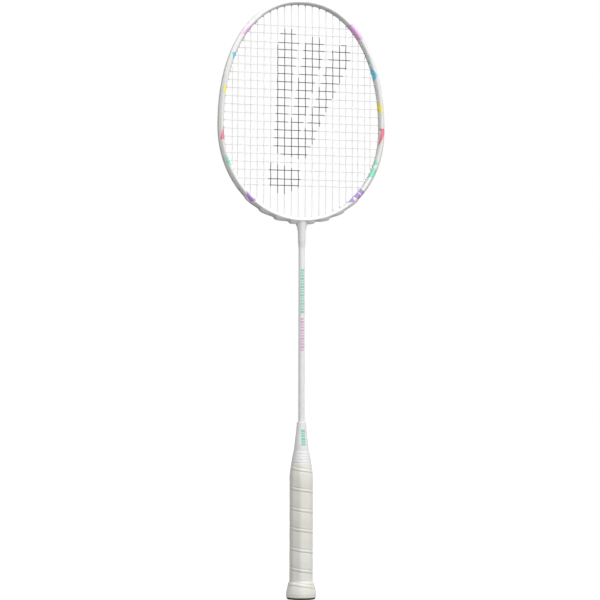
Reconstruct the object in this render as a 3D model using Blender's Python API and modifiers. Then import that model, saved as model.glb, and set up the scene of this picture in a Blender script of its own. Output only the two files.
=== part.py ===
"""Badminton racket: a moulded hoop on a slim tube shaft, strung through grommets, with a wrapped handle.

Frame: the origin is the centre of the butt end, +Z runs up the shaft to the crown of the hoop,
X runs across the string bed and Y is square to it. Dimensions are in millimetres unless a name
or a comment says otherwise.
"""
import math

import bmesh
import bpy
from mathutils import Matrix, Vector

MM = 0.001
COLLECTION = "badminton_racket"
GAP = 0.3

# Hoop outline: its outer edge, seen square to the strings.
LENGTH = 675.0
HOOP_HALF_WIDTH = 99.7
HOOP_WIDEST_Z = 529.0
HOOP_BOTTOM_Z = 422.0
CROWN_EXPONENT = 2.18
THROAT_EXPONENT = 2.03
OUTLINE_STEPS = 1440

# Hoop section: a rounded box, radial width by depth along Y.
SECTION_WIDTH = 6.4
SECTION_DEPTH = 10.5
SECTION_EXPONENT = 2.6
SECTION_POINTS = 12
STATION_PITCH = 8.0
GROOVE_DEPTH = 1.9
GROOVE_FLOOR_HALF = 2.0
GROOVE_MOUTH_HALF = 2.4
GROOVE_END_X = 2.6

# Raised lips over the string loops beside the throat, largest next to the shaft.
HUMP_HEIGHTS = (1.7, 1.4, 1.1, 0.7)
HUMP_LEAD = 4.0
HUMP_FALL = 3.0

# Stringing.
STRING_RADIUS = 0.35
BED_OFFSET = 0.5
MAIN_COUNT = 22
MAIN_PITCH = 8.28
MAIN_CROWDING = 4.3
CROSS_COUNT = 21
CROSS_TOP_Z = 644.2
CROSS_PITCH = 9.065
HOLE_SPACING_MIN = 3.3
TAIL_LENGTH = 2.8

# Grommets: thin strips in the groove, each with a row of barrels through the hoop.
HOLE_RADIUS = 1.4
BARREL_RADIUS = 1.15
BORE_RADIUS = 0.75
BARREL_STAND_OUT = 0.8
STRIP_THICKNESS = 0.5
STRIP_HALF_WIDTH = 1.7
STRIP_OVERRUN = 1.25
STRIP_SIZES = (("shoulder", 10), ("upper_side", 8), ("lower_side", 8), ("hip", 7), ("throat", 5))
CROWN_STRIP_HALF = 5

# Shaft and the T-piece that ties it to the hoop.
SHAFT_RADIUS = 3.5
SHAFT_BORE = 2.0
SHAFT_TOP_Z = 412.7
SHAFT_BOTTOM_Z = 62.0
SOCKET_MOUTH_Z = 402.0
T_STEM_RADIUS = 1.7
T_STEM_BOTTOM_Z = 392.0
T_ARM_HALF = 8.0
T_ARM_DEPTH = 6.0
T_ARM_LOW_Z = 424.9
T_ARM_HIGH_Z = 427.3

# Handle.
CORE_TOP_Z = 138.0
CORE_FLAT_HALF = 10.7
SPIGOT_FLAT_HALF = 9.5
SPIGOT_TOP_Z = 20.5
SPIGOT_BOTTOM_Z = 5.3
GRIP_FLAT_HALF = 12.7
GRIP_THICKNESS = 1.35
GRIP_TOP_Z = 154.8
GRIP_BOTTOM_Z = 1.9
GRIP_FLARE_RADIUS = 17.2
CAP_RADIUS = 16.2
DISC_RADIUS = 9.0
DISC_THICKNESS = 0.8
STAPLE_WIRE_RADIUS = 0.5
STAPLE_OFFSET_Y = 4.5
STAPLE_HALF_SPAN = 3.5
STAPLE_TOP_Z = 13.0

WHITE_GLOSS = ("white_lacquer", (0.90, 0.90, 0.89), 0.22, 0.0)
WHITE_PLASTIC = ("white_plastic", (0.86, 0.86, 0.86), 0.35, 0.0)
STRING_NYLON = ("string_nylon", (0.88, 0.88, 0.88), 0.30, 0.0)
GRIP_SYNTHETIC = ("grip_synthetic", (0.72, 0.71, 0.66), 0.62, 0.0)
TAPE_FILM = ("tape_film", (0.84, 0.83, 0.85), 0.40, 0.0)
BLACK_PLASTIC = ("black_plastic", (0.012, 0.012, 0.013), 0.30, 0.0)
MINT_PLASTIC = ("mint_plastic", (0.45, 0.82, 0.70), 0.40, 0.0)
WOOD = ("maple_wood", (0.62, 0.45, 0.28), 0.60, 0.0)
STEEL = ("zinc_steel", (0.60, 0.60, 0.60), 0.35, 1.0)
ALUMINIUM = ("t_aluminium", (0.75, 0.75, 0.76), 0.35, 1.0)


# ---------------------------------------------------------------- scene helpers

def clear_scene():
    for obj in list(bpy.data.objects):
        bpy.data.objects.remove(obj, do_unlink=True)


def make_collection(name):
    collection = bpy.data.collections.new(name)
    bpy.context.scene.collection.children.link(collection)
    return collection


def material(spec):
    name, colour, roughness, metallic = spec
    if name in bpy.data.materials:
        return bpy.data.materials[name]
    made = bpy.data.materials.new(name)
    made.use_nodes = True
    shader = made.node_tree.nodes["Principled BSDF"]
    shader.inputs["Base Color"].default_value = (*colour, 1.0)
    shader.inputs["Roughness"].default_value = roughness
    shader.inputs["Metallic"].default_value = metallic
    made.diffuse_color = (*colour, 1.0)
    return made


def add_object(name, data, spec, collection):
    obj = bpy.data.objects.new(name, data)
    collection.objects.link(obj)
    if spec is not None:
        data.materials.append(material(spec))
    return obj


def as_cutter(obj):
    obj.hide_render = True
    obj.display_type = "WIRE"
    return obj


def smooth(mesh, angle=35.0):
    mesh.shade_smooth()
    mesh.set_sharp_from_angle(angle=math.radians(angle))


def boolean(obj, cutter, operation):
    modifier = obj.modifiers.new(operation.lower() + "_" + cutter.name, "BOOLEAN")
    modifier.operation = operation
    modifier.object = cutter
    modifier.solver = "EXACT"


# ---------------------------------------------------------------- shape helpers

def mesh_from_bmesh(name, shape):
    bmesh.ops.recalc_face_normals(shape, faces=shape.faces)
    mesh = bpy.data.meshes.new(name)
    shape.to_mesh(mesh)
    shape.free()
    smooth(mesh)
    return mesh


def loft(name, rings, closed=False):
    """Skin a run of rings (lists of points in mm, all the same length), capped unless it is closed."""
    shape = bmesh.new()
    loops = [[shape.verts.new(Vector(point) * MM) for point in ring] for ring in rings]
    pairs = list(zip(loops, loops[1:]))
    if closed:
        pairs.append((loops[-1], loops[0]))
    for low, high in pairs:
        for i in range(len(low)):
            j = (i + 1) % len(low)
            shape.faces.new((low[i], low[j], high[j], high[i]))
    if not closed:
        shape.faces.new(loops[0])
        shape.faces.new(loops[-1])
    return mesh_from_bmesh(name, shape)


def turned(name, profile, spec, collection, steps=32, twist=0.0):
    """Spin a closed profile about Z. Its (radius, z) points go up the outer side and down the inner."""
    shape = bmesh.new()
    turn = Matrix.Rotation(twist, 3, "Z")
    ring = [shape.verts.new(turn @ Vector((radius, 0.0, z)) * MM) for radius, z in reversed(profile)]
    for i, vert in enumerate(ring):
        shape.edges.new((vert, ring[(i + 1) % len(ring)]))
    mesh = bpy.data.meshes.new(name)
    shape.to_mesh(mesh)
    shape.free()
    obj = add_object(name, mesh, spec, collection)
    screw = obj.modifiers.new("spin", "SCREW")
    screw.axis = "Z"
    screw.steps = steps
    screw.render_steps = steps
    screw.use_merge_vertices = True
    screw.merge_threshold = 0.00001
    return obj


def cylinders(name, rods, radius, sides, collection):
    """One cutter holding a straight rod for each (start, end) pair of points in mm."""
    shape = bmesh.new()
    for start, end in rods:
        axis = Vector(end) - Vector(start)
        place = Matrix.Translation((Vector(start) + Vector(end)) * 0.5 * MM)
        turn = axis.to_track_quat("Z", "Y").to_matrix().to_4x4()
        bmesh.ops.create_cone(shape, cap_ends=True, segments=sides, radius1=radius * MM,
                              radius2=radius * MM, depth=axis.length * MM, matrix=place @ turn)
    return as_cutter(add_object(name, mesh_from_bmesh(name, shape), None, collection))


def wire(name, points, radius, spec, collection, sides_step=1):
    """A round wire along straight runs between points in mm, with filled ends."""
    curve = bpy.data.curves.new(name, "CURVE")
    curve.dimensions = "3D"
    curve.bevel_depth = radius * MM
    curve.bevel_resolution = sides_step
    curve.use_fill_caps = True
    spline = curve.splines.new("POLY")
    spline.points.add(len(points) - 1)
    for target, point in zip(spline.points, points):
        target.co = (*(Vector(point) * MM), 1.0)
    return add_object(name, curve, spec, collection)


# ---------------------------------------------------------------- hoop geometry

def signed_power(value, exponent):
    return math.copysign(abs(value) ** exponent, value)


def outline_at(angle):
    """Outer edge of the hoop: a superellipse above the widest line, a rounder one below it."""
    upper = math.sin(angle) >= 0.0
    exponent = 2.0 / (CROWN_EXPONENT if upper else THROAT_EXPONENT)
    height = LENGTH - HOOP_WIDEST_Z if upper else HOOP_WIDEST_Z - HOOP_BOTTOM_Z
    x = HOOP_HALF_WIDTH * signed_power(math.cos(angle), exponent)
    z = HOOP_WIDEST_Z + height * signed_power(math.sin(angle), exponent)
    return Vector((x, 0.0, z))


class Hoop:
    """The outer edge by arc length, from the throat up the right side, over the crown and back."""

    def __init__(self):
        step = 2.0 * math.pi / OUTLINE_STEPS
        self.points = [outline_at(step * i - math.pi / 2.0) for i in range(OUTLINE_STEPS + 1)]
        self.lengths = [0.0]
        for low, high in zip(self.points, self.points[1:]):
            self.lengths.append(self.lengths[-1] + (high - low).length)
        self.total = self.lengths[-1]

    def edge(self, s):
        """Point and outward normal of the outer edge at arc length s."""
        s = s % self.total
        low, high = 0, OUTLINE_STEPS
        while high - low > 1:
            middle = (low + high) // 2
            if self.lengths[middle] > s:
                high = middle
            else:
                low = middle
        share = (s - self.lengths[low]) / (self.lengths[high] - self.lengths[low])
        point = self.points[low].lerp(self.points[high], share)
        before = self.points[(low - 2) % OUTLINE_STEPS]
        after = self.points[(high + 2) % OUTLINE_STEPS]
        tangent = (after - before).normalized()
        return point, Vector((tangent.z, 0.0, -tangent.x))

    def inset(self, s, depth, y=0.0):
        """Point a depth inside the outer edge, moved along Y."""
        point, normal = self.edge(s)
        return point - normal * depth + Vector((0.0, y, 0.0))

    def solve(self, low, high, depth, axis, target):
        """Arc length between low and high where the inset edge's x (0) or z (2) meets a target."""
        rising = self.inset(high, depth)[axis] > self.inset(low, depth)[axis]
        for _ in range(40):
            middle = 0.5 * (low + high)
            if (self.inset(middle, depth)[axis] < target) == rising:
                low = middle
            else:
                high = middle
        return 0.5 * (low + high)


def hump_spans(hoop, holes):
    """Start, crest, end and height of each raised lip on the right half of the throat."""
    throat = sorted(hole["s"] for hole in holes if hole["string"] == "main")
    spans = []
    for i, height in enumerate(HUMP_HEIGHTS):
        near, far = throat[2 * i], throat[2 * i + 1]
        spans.append((near - HUMP_LEAD, far - 1.0, far + HUMP_FALL, height))
    return spans


def hump_height(spans, total, s):
    """How far the lips rise at arc length s: a slow rise away from the shaft and a quick fall."""
    distance = min(s % total, total - s % total)
    for start, crest, end, height in spans:
        if start < distance <= crest:
            return height * math.sin(0.5 * math.pi * (distance - start) / (crest - start))
        if crest < distance < end:
            return height * math.cos(0.5 * math.pi * (distance - crest) / (end - crest))
    return 0.0


def hoop_stations(hoop, spans):
    """Arc lengths of the hoop's sections: an even number of them, and more over each raised lip."""
    count = 2 * round(0.5 * hoop.total / STATION_PITCH)
    stations = [hoop.total * i / count for i in range(count)]
    for start, crest, end, _ in spans:
        marks = (start, 0.5 * (start + crest), crest, 0.5 * (crest + end), end)
        for mark in marks:
            stations += [mark % hoop.total, (hoop.total - mark) % hoop.total]
    stations.sort()
    kept = []
    for s in stations:
        if not kept or s - kept[-1] > 1.0:
            kept.append(s)
    return kept


def hoop_section(hoop, s, rise):
    """Ring of the rounded-box section; the outer half grows by the rise of the lips."""
    middle, normal = hoop.edge(s)
    middle = middle - normal * (0.5 * SECTION_WIDTH)
    power = 2.0 / SECTION_EXPONENT
    flat = math.cos(math.pi / SECTION_POINTS) ** power
    ring = []
    for i in range(SECTION_POINTS):
        angle = 2.0 * math.pi * (i + 0.5) / SECTION_POINTS
        half = (0.5 * SECTION_WIDTH + (rise if math.cos(angle) > 0.0 else 0.0)) / flat
        radial = half * signed_power(math.cos(angle), power)
        depth = 0.5 * SECTION_DEPTH * signed_power(math.sin(angle), power)
        ring.append(middle + normal * radial + Vector((0.0, depth, 0.0)))
    return ring


# ---------------------------------------------------------------- string plan

def string_depth():
    """Inset of the bend where a string leaves its barrel for the bed."""
    return SECTION_WIDTH + BARREL_STAND_OUT + 0.9


def main_x(index):
    """Distance of a main from the middle, 1 being the one beside it; the outer ones close up."""
    return MAIN_PITCH * (index - 0.5) - MAIN_CROWDING * ((index - 1) / 10.0) ** 4


def plan_right_holes(hoop):
    """Every string hole on the right half, in order up from the throat."""
    depth = string_depth()
    quarter = hoop.solve(0.0, hoop.total * 0.5, 0.0, 2, HOOP_WIDEST_Z)
    half = 0.5 * hoop.total
    holes = []
    for index in range(1, MAIN_COUNT // 2 + 1):
        x = main_x(index)
        holes.append({"string": "main", "index": index, "end": 0,
                      "s": hoop.solve(0.0, quarter, depth, 0, x)})
        holes.append({"string": "main", "index": index, "end": 1,
                      "s": hoop.solve(half, quarter, depth, 0, x)})
    for index in range(CROSS_COUNT):
        z = CROSS_TOP_Z - CROSS_PITCH * index
        holes.append({"string": "cross", "index": index, "end": 1,
                      "s": hoop.solve(0.0, half, depth, 2, z)})
    holes.sort(key=lambda hole: hole["s"])
    spread_holes(holes)
    return holes


def spread_holes(holes):
    """Move neighbours apart along the hoop until their barrels have room."""
    for _ in range(200):
        for low, high in zip(holes, holes[1:]):
            lack = HOLE_SPACING_MIN - (high["s"] - low["s"])
            if lack > 0.0:
                low["s"] -= 0.5 * lack
                high["s"] += 0.5 * lack


def all_holes(hoop):
    """Both halves: the left half mirrors the right, and side is +1 on the right."""
    right = plan_right_holes(hoop)
    holes = []
    for hole in right:
        holes.append({**hole, "side": 1})
        holes.append({**hole, "side": -1, "s": hoop.total - hole["s"]})
    return holes


def bed_y(hole):
    return BED_OFFSET if hole["string"] == "main" else -BED_OFFSET


def find_hole(holes, **wanted):
    for hole in holes:
        if all(hole[key] == value for key, value in wanted.items()):
            return hole
    raise ValueError(f"no hole for {wanted}")


def groove_level():
    """Inset of a string's centre where it lies in the groove, above the grommet strip."""
    return GROOVE_DEPTH - GAP - STRIP_THICKNESS - GAP - STRING_RADIUS


def run_points(hoop, first, second):
    """One run of string, from the groove at one hole across the bed to the groove at the other."""
    level, depth = groove_level(), string_depth()
    return [hoop.inset(first["s"], level, bed_y(first)), hoop.inset(first["s"], depth, bed_y(first)),
            hoop.inset(second["s"], depth, bed_y(second)), hoop.inset(second["s"], level, bed_y(second))]


def tail_point(hoop, hole, towards):
    """End of a tied-off string, laid a little way along the groove."""
    return hoop.inset(hole["s"] + TAIL_LENGTH * towards, groove_level(), bed_y(hole))


def main_route(hoop, holes):
    """The mains as one string, from the left tie-off across to the right one."""
    half = MAIN_COUNT // 2
    order = [(-1, i) for i in range(half, 0, -1)] + [(1, i) for i in range(1, half + 1)]
    points = []
    for number, (side, index) in enumerate(order):
        low = find_hole(holes, string="main", index=index, side=side, end=0)
        high = find_hole(holes, string="main", index=index, side=side, end=1)
        first, second = (low, high) if number % 2 == 0 else (high, low)
        points += run_points(hoop, first, second)
    first = find_hole(holes, string="main", index=half, side=-1, end=0)
    last = find_hole(holes, string="main", index=half, side=1, end=0)
    return [tail_point(hoop, first, 1)] + points + [tail_point(hoop, last, -1)]


def cross_route(hoop, holes):
    """The crosses as one string, from the top left tie-off down to the bottom right one."""
    points = []
    for index in range(CROSS_COUNT):
        left = find_hole(holes, string="cross", index=index, side=-1)
        right = find_hole(holes, string="cross", index=index, side=1)
        first, second = (left, right) if index % 2 == 0 else (right, left)
        points += run_points(hoop, first, second)
    first = find_hole(holes, string="cross", index=0, side=-1)
    last = find_hole(holes, string="cross", index=CROSS_COUNT - 1, side=1)
    return [tail_point(hoop, first, 1)] + points + [tail_point(hoop, last, -1)]


# ---------------------------------------------------------------- hoop and its cutters

def hole_rod(hoop, hole, outer, inner):
    """Rod along the hole's axis between two insets from the outer edge."""
    y = bed_y(hole)
    return hoop.inset(hole["s"], outer, y), hoop.inset(hole["s"], inner, y)


def groove_ring(hoop, s):
    """Section of the groove cutter: a flat floor and sides that open outwards."""
    reach = max(HUMP_HEIGHTS) + 0.7
    corners = ((GROOVE_DEPTH, -GROOVE_FLOOR_HALF), (GROOVE_DEPTH, GROOVE_FLOOR_HALF),
               (-reach, GROOVE_MOUTH_HALF), (-reach, -GROOVE_MOUTH_HALF))
    return [hoop.inset(s, depth, y) for depth, y in corners]


def groove_cutter(hoop, stations, cutters):
    """The groove runs all the way round but for the web in line with the shaft."""
    start = hoop.solve(0.0, 0.25 * hoop.total, 0.0, 0, GROOVE_END_X)
    inside = [s for s in stations if start + 1.0 < s < hoop.total - start - 1.0]
    path = [start] + inside + [hoop.total - start]
    mesh = loft("groove_cutter", [groove_ring(hoop, s) for s in path])
    return as_cutter(add_object("groove_cutter", mesh, None, cutters))


def socket_blend(cutters):
    """The moulded socket under the hoop: round at its mouth, spreading along the hoop at its top."""
    levels = ((SOCKET_MOUTH_Z, 4.25, 4.25), (408.0, 4.5, 4.45), (413.5, 4.9, 4.75),
              (417.0, 5.6, 4.95), (419.5, 6.8, 5.0), (421.5, 8.6, 5.0), (424.5, 10.0, 4.7))
    rings = []
    for z, half_x, half_y in levels:
        turns = [2.0 * math.pi * i / 20 for i in range(20)]
        rings.append([(half_x * math.cos(a), half_y * math.sin(a), z) for a in turns])
    return as_cutter(add_object("socket_blend", loft("socket_blend", rings), None, cutters))


def t_shape(name, grow, stem_bottom, collection):
    """The T-piece, or with some growth the pocket that holds it: a flat arm on a round stem."""
    shape = bmesh.new()
    size = Vector((T_ARM_HALF + grow, 0.5 * T_ARM_DEPTH + grow, 0.5 * (T_ARM_HIGH_Z - T_ARM_LOW_Z) + grow))
    middle = Vector((0.0, 0.0, 0.5 * (T_ARM_LOW_Z + T_ARM_HIGH_Z)))
    place = Matrix.Translation(middle * MM) @ Matrix.Diagonal((*(size * 2.0 * MM), 1.0))
    bmesh.ops.create_cube(shape, size=1.0, matrix=place)
    arm = add_object(name, mesh_from_bmesh(name, shape), None, collection)
    rods = [((0.0, 0.0, stem_bottom), (0.0, 0.0, middle.z))]
    return arm, rods, T_STEM_RADIUS + grow


def make_head_frame(hoop, holes, racket, cutters):
    spans = hump_spans(hoop, [hole for hole in holes if hole["side"] == 1])
    stations = hoop_stations(hoop, spans)
    rings = [hoop_section(hoop, s, hump_height(spans, hoop.total, s)) for s in stations]
    frame = add_object("head_frame", loft("head_frame", rings, closed=True), WHITE_GLOSS, racket)
    boolean(frame, socket_blend(cutters), "UNION")
    boolean(frame, groove_cutter(hoop, stations, cutters), "DIFFERENCE")
    rods = [hole_rod(hoop, hole, -1.0, SECTION_WIDTH + 1.0) for hole in holes]
    boolean(frame, cylinders("hole_cutter", rods, HOLE_RADIUS, 6, cutters), "DIFFERENCE")
    pocket, stem, radius = t_shape("t_pocket", GAP, SHAFT_TOP_Z - 1.0, cutters)
    boolean(frame, as_cutter(pocket), "DIFFERENCE")
    boolean(frame, cylinders("t_stem_pocket", stem, radius, 16, cutters), "DIFFERENCE")
    bore = [((0.0, 0.0, SOCKET_MOUTH_Z - 1.0), (0.0, 0.0, SHAFT_TOP_Z + GAP))]
    boolean(frame, cylinders("shaft_pocket", bore, SHAFT_RADIUS + GAP, 24, cutters), "DIFFERENCE")
    return frame


def make_t_joint(hoop, holes, racket, cutters):
    joint, stem, radius = t_shape("t_joint", 0.0, T_STEM_BOTTOM_Z, racket)
    joint.data.materials.append(material(ALUMINIUM))
    boolean(joint, cylinders("t_stem", stem, radius, 16, cutters), "UNION")
    rods = [hole_rod(hoop, find_hole(holes, string="main", index=1, side=side, end=0), -1.0,
                     SECTION_WIDTH + 1.0) for side in (-1, 1)]
    boolean(joint, cylinders("t_hole_cutter", rods, HOLE_RADIUS, 12, cutters), "DIFFERENCE")


# ---------------------------------------------------------------- grommets

def strip_groups(holes):
    """Names and holes of the strips: one over the crown, then five down each side."""
    groups = []
    crown = []
    for side, label in ((1, "right"), (-1, "left")):
        own = [hole for hole in holes if hole["side"] == side]
        own.sort(key=lambda hole: hole["s"], reverse=side > 0)
        crown += own[:CROWN_STRIP_HALF]
        start = CROWN_STRIP_HALF
        for name, size in STRIP_SIZES:
            groups.append((f"grommet_{name}_{label}", own[start:start + size]))
            start += size
    return [("grommet_crown", crown)] + groups


def strip_ring(hoop, s):
    top = GROOVE_DEPTH - GAP - STRIP_THICKNESS
    corners = ((GROOVE_DEPTH - GAP, -STRIP_HALF_WIDTH), (GROOVE_DEPTH - GAP, STRIP_HALF_WIDTH),
               (top, STRIP_HALF_WIDTH), (top, -STRIP_HALF_WIDTH))
    return [hoop.inset(s, depth, y) for depth, y in corners]


def make_strip(hoop, name, group, racket, cutters):
    """A band with one barrel for each hole, bored for the string."""
    places = sorted(hole["s"] for hole in group)
    path = [places[0] - STRIP_OVERRUN] + [0.5 * (a + b) for a, b in zip(places, places[1:])]
    path.append(places[-1] + STRIP_OVERRUN)
    mesh = loft(name, [strip_ring(hoop, s) for s in path])
    strip = add_object(name, mesh, WHITE_PLASTIC, racket)
    base = GROOVE_DEPTH - GAP - 0.5 * STRIP_THICKNESS
    tip = SECTION_WIDTH + BARREL_STAND_OUT
    barrels = [hole_rod(hoop, hole, base, tip) for hole in group]
    boolean(strip, cylinders(name + "_barrels", barrels, BARREL_RADIUS, 6, cutters), "UNION")
    bores = [hole_rod(hoop, hole, 0.0, tip + 1.0) for hole in group]
    boolean(strip, cylinders(name + "_bores", bores, BORE_RADIUS, 6, cutters), "DIFFERENCE")


# ---------------------------------------------------------------- shaft and handle

def make_shaft(racket):
    profile = [(SHAFT_BORE, SHAFT_BOTTOM_Z), (SHAFT_RADIUS, SHAFT_BOTTOM_Z),
               (SHAFT_RADIUS, SHAFT_TOP_Z), (SHAFT_BORE, SHAFT_TOP_Z)]
    turned("shaft", profile, WHITE_GLOSS, racket, steps=24)


def make_cone(racket):
    """Tapered cover between the handle and the shaft, necked down where the grip and tape lap it."""
    bore = SHAFT_RADIUS + GAP
    outer = [(10.6, CORE_TOP_Z + GAP), (10.4, 142.0), (9.7, 149.0), (8.95, 152.5), (8.95, 156.0),
             (8.9, 160.5), (8.0, 166.2), (8.45, 166.8), (7.65, 173.5), (6.9, 180.0), (6.0, 187.0),
             (5.3, 193.2), (5.05, 197.4), (4.8, 198.2)]
    profile = [(bore, CORE_TOP_Z + GAP)] + outer + [(bore, 198.2)]
    turned("handle_cone", profile, WHITE_GLOSS, racket, steps=32)


def octagon(flat_half):
    """Corner radius of an octagon from half its width over the flats."""
    return flat_half / math.cos(math.pi / 8.0)


def staple_rods(low, high):
    """The two legs of both staples, as straight rods."""
    return [((x, y, low), (x, y, high)) for x in (-STAPLE_HALF_SPAN, STAPLE_HALF_SPAN)
            for y in (-STAPLE_OFFSET_Y, STAPLE_OFFSET_Y)]


def make_core(racket, cutters):
    """Wooden octagon bored for the shaft, with a narrower end that sits in the butt cap."""
    body, spigot = octagon(CORE_FLAT_HALF), octagon(SPIGOT_FLAT_HALF)
    profile = [(0.0, SPIGOT_BOTTOM_Z), (spigot, SPIGOT_BOTTOM_Z), (spigot, SPIGOT_TOP_Z),
               (body, SPIGOT_TOP_Z), (body, CORE_TOP_Z - 1.0), (body - 1.0, CORE_TOP_Z),
               (0.0, CORE_TOP_Z)]
    core = turned("handle_core", profile, WOOD, racket, steps=8, twist=math.pi / 8.0)
    bore = [((0.0, 0.0, SHAFT_BOTTOM_Z - GAP), (0.0, 0.0, CORE_TOP_Z + 1.0))]
    boolean(core, cylinders("core_bore", bore, SHAFT_RADIUS + GAP, 24, cutters), "DIFFERENCE")
    legs = staple_rods(SPIGOT_BOTTOM_Z - 1.0, STAPLE_TOP_Z + 2.0 * GAP)
    boolean(core, cylinders("core_staple_holes", legs, STAPLE_WIRE_RADIUS + GAP, 8, cutters), "DIFFERENCE")


def grip_ring(flat_half, roundness, z):
    """Octagon with cut corners; roundness 0 is a sharp octagon and 1 is nearly a circle."""
    ring = []
    cut = 0.10 + 0.29 * roundness
    for i in range(8):
        corner = math.pi * (2 * i + 1) / 8.0
        for turn in (-cut * math.pi / 8.0, cut * math.pi / 8.0):
            a = corner + turn
            radius = flat_half / math.cos(math.pi / 8.0 - abs(turn))
            ring.append((radius * math.cos(a), radius * math.sin(a), z))
    return ring


def make_grip(racket):
    """Wrapped sleeve over the core, flaring over the butt cap and closing in on the cone."""
    outer = ((GRIP_BOTTOM_Z, 16.6, 0.9), (3.0, GRIP_FLARE_RADIUS, 0.9), (5.5, 17.1, 0.9),
             (9.0, 16.5, 0.8), (14.0, 15.2, 0.7), (17.8, 14.1, 0.6), (19.8, 12.9, 0.4),
             (22.0, GRIP_FLAT_HALF, 0.3), (136.0, GRIP_FLAT_HALF, 0.3), (144.0, 12.3, 0.5),
             (149.0, 11.6, 0.7), (152.5, 11.1, 0.9), (152.8, 10.25, 0.9), (GRIP_TOP_Z, 10.1, 0.9))
    inner = [(z, half - GRIP_THICKNESS, roundness) for z, half, roundness in reversed(outer)]
    inner[0] = (GRIP_TOP_Z, 9.4, 0.9)
    inner[1] = (152.8, 9.4, 0.9)
    inner[-1] = (GRIP_BOTTOM_Z, inner[-2][1], 0.9)
    rings = [grip_ring(half, roundness, z) for z, half, roundness in list(outer) + inner]
    mesh = loft("grip_wrap", rings, closed=True)
    add_object("grip_wrap", mesh, GRIP_SYNTHETIC, racket)


def make_tape(racket):
    """Finishing tape wound over the end of the grip, with the edges of its turns standing out."""
    outer = [(11.3, 153.1), (10.95, 155.5), (10.8, 155.6), (10.45, 158.4), (10.3, 158.5),
             (9.75, 161.9), (9.6, 162.0), (8.75, 166.4)]
    inner = [(8.35, 166.4), (9.5, 160.5), (10.15, 156.2), (10.75, 155.2), (10.9, 153.1)]
    turned("finishing_tape", outer + inner, TAPE_FILM, racket, steps=32)


def make_butt_cap(racket, cutters):
    """Black cap under the core: a rounded lip, a skirt under the flare and a recess for the disc."""
    pocket = octagon(SPIGOT_FLAT_HALF) + GAP
    profile = [(0.0, DISC_THICKNESS + GAP), (DISC_RADIUS + GAP, DISC_THICKNESS + GAP),
               (DISC_RADIUS + GAP, 0.0), (14.6, 0.0), (15.7, 0.3), (CAP_RADIUS, 0.9), (CAP_RADIUS, 1.6),
               (15.4, 1.6), (15.4, 6.0), (14.2, 11.5), (12.0, 17.2), (11.1, 19.0),
               (11.1, SPIGOT_TOP_Z - GAP),
               (pocket, SPIGOT_TOP_Z - GAP), (pocket, SPIGOT_BOTTOM_Z - GAP),
               (0.0, SPIGOT_BOTTOM_Z - GAP)]
    cap = turned("butt_cap", profile, BLACK_PLASTIC, racket, steps=32)
    legs = staple_rods(0.5, SPIGOT_BOTTOM_Z + 1.0)
    boolean(cap, cylinders("cap_staple_holes", legs, STAPLE_WIRE_RADIUS + GAP, 8, cutters), "DIFFERENCE")
    slot = bmesh.new()
    for side in (-1, 1):
        size = (2.0 * (STAPLE_HALF_SPAN + 0.8), 1.6, 2.4)
        middle = Vector((0.0, side * STAPLE_OFFSET_Y, DISC_THICKNESS + GAP + 0.4))
        bmesh.ops.create_cube(slot, size=1.0, matrix=Matrix.Translation(middle * MM)
                              @ Matrix.Diagonal((*(Vector(size) * MM), 1.0)))
    slots = add_object("cap_staple_slots", mesh_from_bmesh("cap_staple_slots", slot), None, cutters)
    boolean(cap, as_cutter(slots), "DIFFERENCE")


def make_staples(racket):
    crown_z = DISC_THICKNESS + GAP + 0.6
    for side, label in ((-1, "front"), (1, "back")):
        y = side * STAPLE_OFFSET_Y
        points = [(-STAPLE_HALF_SPAN, y, STAPLE_TOP_Z), (-STAPLE_HALF_SPAN, y, crown_z),
                  (STAPLE_HALF_SPAN, y, crown_z), (STAPLE_HALF_SPAN, y, STAPLE_TOP_Z)]
        wire(f"cap_staple_{label}", points, STAPLE_WIRE_RADIUS, STEEL, racket)


def make_disc(racket):
    profile = [(0.0, 0.0), (DISC_RADIUS - 0.2, 0.0), (DISC_RADIUS, 0.2), (DISC_RADIUS, DISC_THICKNESS),
               (0.0, DISC_THICKNESS)]
    turned("butt_disc", profile, MINT_PLASTIC, racket, steps=32)


def main():
    clear_scene()
    racket = make_collection(COLLECTION)
    cutters = make_collection("cutters")
    hoop = Hoop()
    holes = all_holes(hoop)
    make_head_frame(hoop, holes, racket, cutters)
    make_t_joint(hoop, holes, racket, cutters)
    wire("main_string", main_route(hoop, holes), STRING_RADIUS, STRING_NYLON, racket)
    wire("cross_string", cross_route(hoop, holes), STRING_RADIUS, STRING_NYLON, racket)
    for name, group in strip_groups(holes):
        make_strip(hoop, name, group, racket, cutters)
    make_shaft(racket)
    make_cone(racket)
    make_core(racket, cutters)
    make_grip(racket)
    make_tape(racket)
    make_butt_cap(racket, cutters)
    make_staples(racket)
    make_disc(racket)


main()
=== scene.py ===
"""Looks of the badminton racket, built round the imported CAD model.

Shapes are worked out in millimetres in the row frame and turned into metres when a mesh is made.
X runs across the strings, Y is square to them with the front at -Y, and +Z runs up to the crown.
"""
import math

import bpy
import numpy as np
from mathutils import Matrix, Vector


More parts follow.
